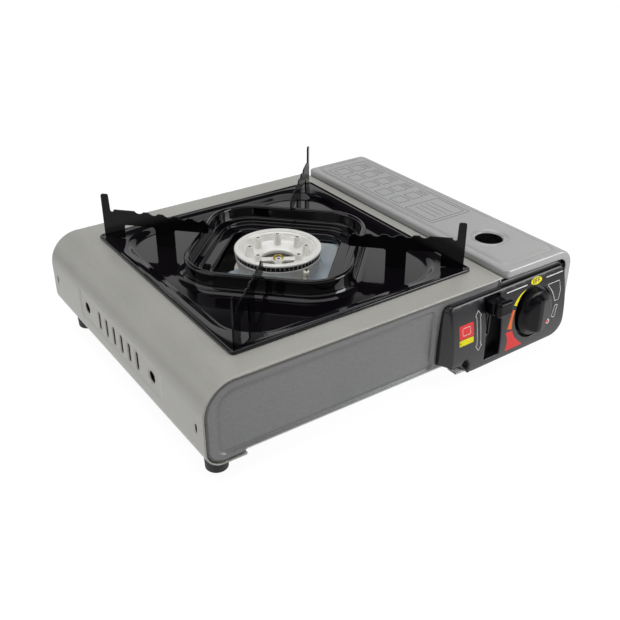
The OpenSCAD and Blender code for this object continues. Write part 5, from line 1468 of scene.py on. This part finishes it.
@dataclass
class DripPan:
    """The enamelled drip pan: hem, shelf, slope, floor, and the square collar round the burner."""

    half: tuple[float, float] = (109.25, 113.0)
    hem: float = 1.1  # radius of the hem's bead
    hem_z: float = 86.6
    hem_in: tuple[float, float] = (2.7, 3.5)  # inset and corner radius, here and in the next two
    slope_in: tuple[float, float] = (8.6, 40.0)
    floor_in: tuple[float, float] = (15.2, 32.0)
    seat_z: float = 84.0
    shelf_z: float = 85.8
    floor_z: float = 81.0
    rim_z: float = 97.0
    bowl_z: float = 82.5
    collar: float = 68.0
    collar_r: float = 36.0
    collar_foot: tuple[float, float] = (6.6, 6.0)  # width and height of the fillet at its foot
    rim: float = 4.5
    opening: float = 46.0
    opening_r: float = 14.0
    lip: float = 1.6
    lip_z: float = 76.5
    turn: float = math.pi / 4

    def build(self) -> None:
        """Stacks the pan's rings, with more points on the rays where the hem's corners turn."""
        corner = math.atan2(self.half[1] - 2, self.half[0] - 2)
        near = np.radians(np.arange(-3.0, 3.1, 0.35))
        rays = np.unique(np.round(np.concatenate([angles(360), *(
            side + near for side in (corner, math.pi - corner, math.pi + corner, 2 * math.pi - corner))]), 5))
        rings, heights = zip(*self.rings(rays))
        radius = np.stack(rings)
        points = xyz(radius * np.cos(rays) + BURNER_X, radius * np.sin(rays) + BURNER_Y,
                     np.array(heights)[:, None])
        Shell("drip_pan_pressing").add((points, grid_faces(*radius.shape))).piece(
            "pan", "pan_enamel", PAN_ENAMEL, replaces=["drip_pan"], wall=0.75, crease=60)

    @staticmethod
    def reach(rays: Array, half_x: float, half_y: float, radius: float, turn: float) -> Array:
        """Measures from the middle of a round-cornered rectangle to its edge, by direction.

        A ray meets a straight side, unless that point lies past a corner's centre: then it
        meets the corner's circle, at b + sqrt(b^2 - c), with b the centre along the ray and
        c the centre's squared distance less the squared radius.

        Args:
            rays: directions.
            half_x: half width.
            half_y: half depth.
            radius: corner radius.
            turn: how far the rectangle is turned.

        Returns:
            The distances.
        """
        c, s = np.abs(ray(rays - turn)).T
        flat = np.minimum(half_x / np.maximum(c, 1e-9), half_y / np.maximum(s, 1e-9))
        mid_x, mid_y = half_x - radius, half_y - radius
        b = c * mid_x + s * mid_y
        arc = b + np.sqrt(np.maximum(b * b - (mid_x ** 2 + mid_y ** 2 - radius ** 2), 0.0))
        return np.where((flat * c > mid_x) & (flat * s > mid_y), arc, flat)

    def outer(self, rays: Array, inset: float, radius: float) -> Array:
        """Returns the reach of the hem's rectangle, moved in."""
        return self.reach(rays, self.half[0] - inset, self.half[1] - inset, radius, 0.0)

    def square(self, rays: Array, half: float, radius: float) -> Array:
        """Returns the reach of a square turned as the collar is."""
        return self.reach(rays, half, half, radius, self.turn)

    def rings(self, rays: Array) -> list[tuple[Array, float]]:
        """Lists the rings from the hem's foot inwards.

        Hem and rim are half rounds, 1 - cos a in and sin a up. The slope and both floors
        blend one ring into the next, r = first + (last - first) t, the slope falling by three
        parts of a smooth step to one of a straight line. The collar's foot and the lip are
        quarter rounds.

        Args:
            rays: directions of the rings' points.

        Returns:
            Each ring's distances from the middle, and its height.
        """
        out = [(self.outer(rays, 0, 4), self.seat_z + 0.05)]
        for a in np.linspace(0, math.pi, 11)[:-2]:
            inset = self.hem * (1 - math.cos(a))
            out.append((self.outer(rays, inset, 4 - 0.5 * inset), self.hem_z - self.hem * (1 - math.sin(a))))
        start, shelf, foot = (self.outer(rays, *size) for size in (self.hem_in, self.slope_in, self.floor_in))
        out += [(self.outer(rays, 2.35, 3.2), self.shelf_z + 0.03), (start, self.shelf_z)]
        out += [(start + (shelf - start) * t, self.shelf_z - 0.8 * max(t - 0.3, 0) / 0.7)
                for t in (0.15, 0.3, 0.5, 0.75, 0.93, 1.0)]
        fall = self.floor_z - self.shelf_z + 0.8
        out += [(shelf + (foot - shelf) * t, self.shelf_z - 0.8 + fall * float(0.75 * ease(t) + 0.25 * t))
                for t in np.linspace(0, 1, 11)[1:]]
        wall = self.square(rays, self.collar, self.collar_r)
        wide, high = self.collar_foot
        flare = np.minimum(self.square(rays, self.collar + wide, self.collar_r + wide), foot - 0.8)
        out += [(foot + (flare - foot) * t, self.floor_z) for t in np.linspace(0, 1, 19)[1:]]
        out += [(flare + (wall - flare) * math.sin(a), self.floor_z + high * (1 - math.cos(a)))
                for a in np.linspace(0, QUARTER, 13)[1:]]
        out += [(wall, self.rim_z - 3.9), (wall, self.rim_z - 2.6)]
        bead = self.rim / 2
        for a in np.linspace(0, math.pi, 13):
            inset = bead * (1 - math.cos(a))
            out.append((self.square(rays, self.collar - inset, self.collar_r - inset),
                        self.rim_z - bead * (1 - math.sin(a))))
        inner, inner_r = self.collar - self.rim, self.collar_r - self.rim
        out += [(self.square(rays, inner - inset, inner_r - 0.8 * inset), z) for inset, z in (
            (0.0, 93.4), (0.2, 90.5), (0.4, 87.6), (0.53, 86.8), (1.0, 86.1), (1.7, 85.75), (2.4, 85.7),
            (4.4, 85.65), (6.4, 85.6), (6.9, 85.5), (7.25, 85.2), (7.4, 84.8), (7.5, 83.6), (7.65, 83.0),
            (8.0, 82.65), (8.6, self.bowl_z))]
        first = self.square(rays, inner - 8.6, inner_r - 6.9)
        last = self.square(rays, self.opening + self.lip, self.opening_r + self.lip)
        out += [(first + (last - first) * t, self.bowl_z) for t in np.linspace(0, 1, 15)[1:]]
        for a in np.linspace(0, QUARTER, 6)[1:]:
            inset = self.lip * (1 - math.sin(a))
            out.append((self.square(rays, self.opening + inset, self.opening_r + inset),
                        self.bowl_z - self.lip * (1 - math.cos(a))))
        return out + [(self.square(rays, self.opening, self.opening_r), z) for z in (79.0, self.lip_z)]


@dataclass
class Support:
    """One of the four upright plates that carry a pot, standing on a diagonal of the pan."""

    name: str
    angle: float
    thick: float = 1.4
    outer: float = 150.4
    inner: float = 58.5
    level: float = 121.4
    top_z: float = 111.0
    waves: int = 5
    pitch: float = 12.7

    def outline(self) -> Array:
        """Draws the plate from the burner's axis outwards, with its scalloped top.

        The top is a line that falls 3 mm towards the burner, cut by circles of 5 mm that
        reach 2 mm into it.

        Returns:
            Distances and heights, counter-clockwise.
        """
        tip_z, rib_z, level = self.top_z - 3, self.top_z - 13, self.level
        s = np.arange(self.inner + 4, level, 0.6)
        line = tip_z + 3 * (s - self.inner) / (level - self.inner)
        for centre in level - 3 - self.pitch * np.arange(self.waves):
            base = tip_z + 3 * (centre - self.inner) / (level - self.inner)
            off = np.abs(s - centre)
            line = np.where(off < 5, np.minimum(line, base + 3 - np.sqrt(np.maximum(25 - off ** 2, 0))), line)
        low = fillet([(self.inner + 3.5, tip_z + 0.1), (self.inner, tip_z - 3.5), (self.inner, rib_z - 1),
                      (88.5, rib_z - 1), (88.5, 81), (105, 81), (105, rib_z), (132.4, rib_z),
                      (132.4, 85.8), (self.outer, 85.8), (self.outer, 124.5), (144.2, 124.5),
                      (143.7, 109), (141.0, 109), (140.4, self.top_z), (level + 1, self.top_z)],
                     [0, 2.0, 1.2, 2.2, 0.8, 0.8, 2.5, 2.5, 0.8, 0.8, 1.6, 1.6, 1.2, 1.2, 0.8, 0],
                     closed=False, step=0.5)
        return np.vstack([low, np.stack([s, line], 1)[::-1]])

    def stand(self, flat: Array, side: float) -> Array:
        """Stands points on the diagonal: the distance runs along it from the burner's axis.

        Args:
            flat: distances and heights.
            side: -1 for the plate's first face, 1 for its other.

        Returns:
            The points in space.
        """
        c, s = ray(math.radians(self.angle))
        off = side * self.thick / 2
        return xyz(BURNER_X + flat[:, 0] * c - off * s, BURNER_Y + flat[:, 0] * s + off * c, flat[:, 1])

    def build(self) -> None:
        """Fills the outline, gives it its thickness and stands it on its diagonal."""
        loop = self.outline()
        shell = Shell(f"{self.name}_plate")
        shell.add_slab(pattern(loop, spaced(60, 150, 7), spaced(82, 124, 7)), [loop], self.stand, 1, -1)
        shell.piece("pan", "support_enamel", SUPPORT_ENAMEL, replaces=[self.name], bevel=0.5, crease=40)


# ---------------------------------------------------------------- burner


@dataclass
class Burner:
    """The burner: cast head with its pegs and bar, port ring, base, jet and electrode."""

    head_r: float = 35.9
    rim_z: float = 90.5
    port_z: float = 88.6
    dish_r: float = 31.3
    well_r: float = 14.6
    well_z: float = 79.5
    pegs: int = 8
    peg_r: float = 23.1
    bar_angle: float = -31.5
    ports: int = 60
    electrode_s: float = 39.4
    electrode_angle: float = -88.0

    def build(self) -> None:
        """Builds the burner's pieces."""
        self.head()
        self.ring()
        self.base()
        self.jet()
        self.electrode()

    @staticmethod
    def turned(points: Array, turn: Array | float) -> Array:
        """Returns points turned by one or more angles about the burner's axis, from the origin."""
        c, s, (x, y, z) = np.cos(turn), np.sin(turn), points.T
        return xyz(BURNER_X + x * c - y * s, BURNER_Y + x * s + y * c, z)

    def head(self) -> None:
        """Turns the head's dish, and adds the pegs, each with a near-black plug in its bore as painted shade,
        the bar and its boss.
        """
        r, dish = self.head_r, self.dish_r
        profile = [(r, self.port_z), (r, self.rim_z), (dish + 0.2, self.rim_z), (dish, self.rim_z - 1.3),
                   (dish - 1.0, self.rim_z - 1.5), (26.4, 83.2), (self.well_r + 2.6, 80.9),
                   (self.well_r, self.well_z + 0.3), (self.well_r, 76.9), (self.well_r + 2, 76.9),
                   (25.4, 80.6), (dish - 2.2, 86.0), (dish - 1.8, self.port_z)]
        shell = Shell("burner_head_casting").add(lathe(
            profile, BURNER_X, BURNER_Y, 144,
            [0.3, 0.9, 0.3, 0.3, 0.5, 4.0, 4.0, 0.7, 0.3, 0.3, 3.0, 1.0, 0.2]))
        start = math.radians(self.bar_angle)
        for x, y in circle(0, 0, self.peg_r, self.pegs) @ np.array([ray(start), ray(start + QUARTER)]):
            shell.add(lathe([(0, 80.0), (3.2, 80.0), (2.6, 91.2), (1.5, 91.2), (1.5, 86.4), (0, 86.4)],
                            BURNER_X + x, BURNER_Y + y, 28, [0, 0.2, 0.3, 0.15, 0, 0]))
            # painted shade: a near-black plug fills the peg's bore
            shell.add(lathe([(0, 86.0), (1.48, 86.0), (1.48, 90.5), (0, 90.5)],
                            BURNER_X + x, BURNER_Y + y, 16), 1)
        points, faces = rounded_block((-15.2, -3.1, 77.2), (15.2, 3.1, 79.6), 0.7, 3)
        shell.add((self.turned(points, start), faces))
        shell.add(lathe([(0, 77.1), (5.5, 77.1), (5.5, 79.25), (0, 79.25)], BURNER_X, BURNER_Y, 40,
                        [0, 0.4, 0.5, 0]))
        shell.piece("casing", "cast_aluminium", HEAD_CASTING, PORT_SHADE, replaces=["burner_head"], crease=38)

    def ring(self) -> None:
        """Turns the port ring and sets its teeth: small blocks leaning on the ring, whose near-black colour is
        the painted shade of the gaps between them.
        """
        outer, inner, low = self.head_r - 1.6, self.head_r - 4, self.port_z - 4.1
        profile = [(outer, low), (outer, self.port_z), (inner, self.port_z), (inner, low)]
        shell = Shell("flame_port_ring").add(lathe(profile, BURNER_X, BURNER_Y, 120))
        points, faces = rounded_block((outer - 0.5, -0.4, low + 0.9),
                                      (self.head_r - 0.9, 0.4, self.port_z - 0.1), 0.2, 1)
        teeth = self.turned(points, angles(self.ports)[:, None])
        order = len(points) * np.arange(self.ports)[:, None, None]
        shell.add((teeth, (faces + order).reshape(-1, 4)), 1)
        shell.piece("casing", "flame_ring", PORT_SHADE, PORT_TEETH, replaces=["flame_ring"], crease=30)

    def base(self) -> None:
        """Turns the base, and the collar towards the injector that holds the mixing tube."""
        profile = [(0, 44), (18, 44), (18, 58), (33.5, 70), (36.5, 70), (36.5, 71.5), (32.6, 72.0),
                   (35.2, 83.6), (35.2, 84.5), (31.9, 84.5), (29.8, 71.5), (15.9, 60), (15.9, 46.5), (0, 46.5)]
        shell = Shell("burner_base_casting").add(lathe(
            profile, BURNER_X, BURNER_Y, 112, [0, 1.2, 4, 1, 0.5, 0.5, 1, 0.3, 0.3, 0.3, 1, 3, 1, 0]))
        nozzle = np.array([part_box("injector")[k][:2] for k in (0, 1)]).mean(0) / MM - [0, MID_Y]
        x, y = (nozzle - [BURNER_X, BURNER_Y]) / np.linalg.norm(nozzle - [BURNER_X, BURNER_Y])
        points, faces = lathe([(0, 14.9), (9.3, 14.9), (9.7, 15.3), (9.7, 24.6), (9.3, 25.0), (0, 25.0)],
                              0, 0, 40)
        lying = points @ np.array([[y, -x, 0], [0, 0, -1], [x, y, 0]])  # its axis along the tube
        shell.add((lying + [BURNER_X, BURNER_Y, 54.0], faces))
        shell.piece("casing", "cast_aluminium", HEAD_CASTING, replaces=["burner_base"], crease=38)

    def jet(self) -> None:
        """Turns the brass screw on the bar, with a near-black plug in its bore as painted shade."""
        shell = Shell("burner_jet_brass").add(lathe(
            [(0, 79.2), (4.4, 79.2), (4.4, 80.4), (3.6, 80.5), (3.6, 81.8), (1.3, 81.8), (1.3, 80.2),
             (0, 80.2)], BURNER_X, BURNER_Y, 40, [0, 0.2, 0.3, 0.2, 0.4, 0.2, 0.1, 0]))
        # painted shade: a near-black plug fills the jet's bore
        shell.add(lathe([(0, 80.0), (1.28, 80.0), (1.28, 81.2), (0, 81.2)], BURNER_X, BURNER_Y, 20), 1)
        shell.piece("casing", "brass_parts", BRASS, PORT_SHADE, replaces=["burner_jet"])

    def electrode(self) -> None:
        """Turns the electrode's porcelain: ribbed, with a flange on the heat plate."""
        x, y = [BURNER_X, BURNER_Y] + self.electrode_s * ray(math.radians(self.electrode_angle))
        profile = [(0.85, 65.5), (2.6, 65.5), (2.6, 72.5), (4, 72.5), (4, 74.1), (2.6, 74.3), (2.6, 76.2),
                   (2.2, 76.7), (2.6, 77.2), (2.6, 78.9), (2.2, 79.4), (2.6, 79.9), (2.5, 84.2), (0.85, 84.2)]
        radii = [0, 0.4, 0.1, 0.4, 0.5, 0.2, 0.2, 0.2, 0.2, 0.2, 0.2, 0.2, 0.7, 0.1]
        Shell("electrode_porcelain").add(lathe(profile, x, y, 40, radii)).piece(
            "casing", "ceramic_insulator", PORCELAIN, replaces=["electrode_insulator"])


# ---------------------------------------------------------------- works inside


@dataclass
class Works:
    """The parts whose solids are already their shape, which take a finish only."""

    finishes: tuple[tuple[Finish, str], ...] = (
        (GALVANISED, "base_plate cartridge_bay regulator_bracket burner_bracket"), (HOT_PLATE, "heat_plate"),
        (ZINC_SCREW, "foot_screws panel_screws burner_screws regulator_screws hinge_pins"),
        (GALVANISED, "mixing_tube"), (BRASS, "injector"), (ELECTRODE, "electrode_pin"),
        (REGULATOR, "regulator_body regulator_cover"), (SEAL, "port_seal"), (INNER_PLASTIC, "piezo_igniter"),
        (SLEEVE, "ignition_lead"), (ZINC_SCREW, "valve_spindle"), (CAM_PLASTIC, "igniter_cam"),
        (GALVANISED, "cam_plate cartridge_slide"))

    def build(self) -> None:
        """Puts each finish in every slot of its nodes' objects."""
        for finish, names in self.finishes:
            for name in names.split():
                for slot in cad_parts[name].material_slots:
                    slot.material = finish.material()
                log.info("%s: finished in %s", name, finish.name)


# ---------------------------------------------------------------- studio


class Lamp(Enum):
    """The soft boxes: place, target, width and height in metres, and power in watts."""

    SOFT_LEFT = ((-1.6, 0.25, 1.15), (0.0, 0.0, 0.05), 1.6, 1.2, 5.6)
    SOFT_OVER = ((0.0, 0.2, 1.95), (0.0, 0.0, 0.0), 2.2, 2.0, 16.0)
    SOFT_RIGHT = ((0.42, -0.5, 0.25), (0.05, -0.14, 0.05), 0.3, 0.3, 1.7)


@dataclass
class Studio:
    """A pale floor, a plain soft sky, three soft boxes and the camera."""

    floor_half: float = 14.0
    stand: tuple[float, float, float] = (-0.3666, -0.5414, 0.3978)
    aim: tuple[float, float, float] = (0.00553, 0.0, 0.0185)
    sky: float = 0.04
    zenith: float = 1.75

    def build(self) -> None:
        """Builds the camera, the sky, the floor and the lamps."""
        scene = bpy.context.scene
        data = bpy.data.cameras.new("camera")
        data.lens, data.sensor_width, data.clip_start, data.clip_end = 50.0, 36.0, 0.05, 60.0
        lift = Vector((0.0, MID_Y * MM, 0.0))
        scene.camera = self.hang("camera", data, Vector(self.stand) + lift, Vector(self.aim) + lift)
        scene.world = self.world()
        self.floor()
        for lamp in Lamp:
            place, target, width, height, power = lamp.value
            data = bpy.data.lights.new(lamp.name.lower(), "AREA")
            data.shape, data.size, data.size_y, data.energy = "RECTANGLE", width, height, power
            self.hang(data.name, data, Vector(place), Vector(target))
        scene.view_settings.view_transform = "Standard"

    @staticmethod
    def hang(name: str, data: bpy.types.ID, place: Vector, target: Vector) -> bpy.types.Object:
        """Hangs a camera or a lamp so that it faces its target.

        Args:
            name: its name.
            data: the camera or lamp.
            place: where it hangs, in metres.
            target: the point that it faces.

        Returns:
            Its object.
        """
        obj = bpy.data.objects.new(name, data)
        obj.location = place
        obj.rotation_euler = (target - place).to_track_quat("-Z", "Y").to_euler()
        bpy.context.scene.collection.objects.link(obj)
        return obj

    def world(self) -> bpy.types.World:
        """Makes the sky: white where it is seen, and softer as a light and in mirror images.

        As a light it is sky + zenith z^4, with z the height of the direction, so that most of it
        comes from straight above. Mirrored, it is a wall behind and a band over the horizon.

        Returns:
            The world.
        """
        world = bpy.data.worlds.new("sky")
        nodes = Nodes(world)
        rays = nodes.add("LightPath").node.outputs
        way = nodes.add("SeparateXYZ", nodes.add("TexCoord", out="Generated")).node.outputs
        wall = nodes.add("Math", nodes.add("MapRange", way["Y"], -0.1, 0.1),
                         nodes.add("MapRange", way["Z"], 0.06, 0.16), operation="MAXIMUM")
        top = nodes.add("MapRange", way["Z"], 0.465, 0.5, 0.62, 0.03)
        mirrored = nodes.add("Math", wall, top, operation="MULTIPLY")
        high = nodes.add("Math", nodes.add("Math", way["Z"], 0.0, operation="MAXIMUM"), 4.0, operation="POWER")
        soft = nodes.add("Math", high, self.zenith, self.sky, operation="MULTIPLY_ADD")
        light = nodes.add("Mix", rays["Is Glossy Ray"], None, soft, mirrored)
        seen = nodes.add("Math", rays["Is Camera Ray"], rays["Is Transmission Ray"], operation="MAXIMUM")
        power = nodes.add("Mix", seen, None, light, 1.0)
        nodes.add("OutputWorld", nodes.add("Background", (1, 1, 1, 1), power))
        return world

    def floor(self) -> None:
        """Lays the pale floor: white where it is seen or mirrored, with the stove's shadow kept."""
        half = self.floor_half
        mesh = bpy.data.meshes.new("floor")
        mesh.from_pydata([(-half, -half, 0), (half, -half, 0), (half, half, 0), (-half, half, 0)], [],
                         [(0, 1, 2, 3)])
        paint = bpy.data.materials.new("pale_floor")
        nodes = Nodes(paint)
        rays = nodes.add("LightPath").node.outputs
        seen = nodes.add("Math", rays["Is Camera Ray"], rays["Is Glossy Ray"], operation="MAXIMUM")
        seen = nodes.add("Math", seen, rays["Is Transmission Ray"], operation="MAXIMUM")
        far = nodes.add("VectorMath", nodes.add("TexCoord", out="Object"), out="Value", operation="LENGTH")
        faded = nodes.add("MapRange", far, 0.25, 1.1, 0.95, 0.08)
        glow = nodes.add("Emission", (1, 1, 1, 1), nodes.add("Mix", rays["Is Glossy Ray"], None, 0.93, faded))
        both = nodes.add("AddShader", nodes.add("BsdfDiffuse", linear("#5e5e5e")), glow)
        nodes.add("OutputMaterial", nodes.add(
            "MixShader", seen, nodes.add("BsdfDiffuse", linear("#b4b4b4")), both))
        mesh.materials.append(paint)
        obj = bpy.data.objects.new("floor", mesh)
        bpy.context.scene.collection.objects.link(obj)


def main() -> None:
    """Builds the studio and every sub-assembly, in order."""
    logging.basicConfig(level=logging.INFO, format="%(name)s: %(message)s")
    for part in (Studio, Casing, ControlPanel, Knob, LockLever, CartridgeLid, DripPan):
        part().build()
    corner = math.degrees(math.atan2(DripPan.half[1], DripPan.half[0]))
    for name, angle in (("support_front_left", 180 + corner), ("support_front_right", -corner),
                        ("support_rear_left", 180 - corner), ("support_rear_right", corner)):
        Support(name, angle).build()
    Burner().build()
    Works().build()


if __name__ == "__main__":
    main()
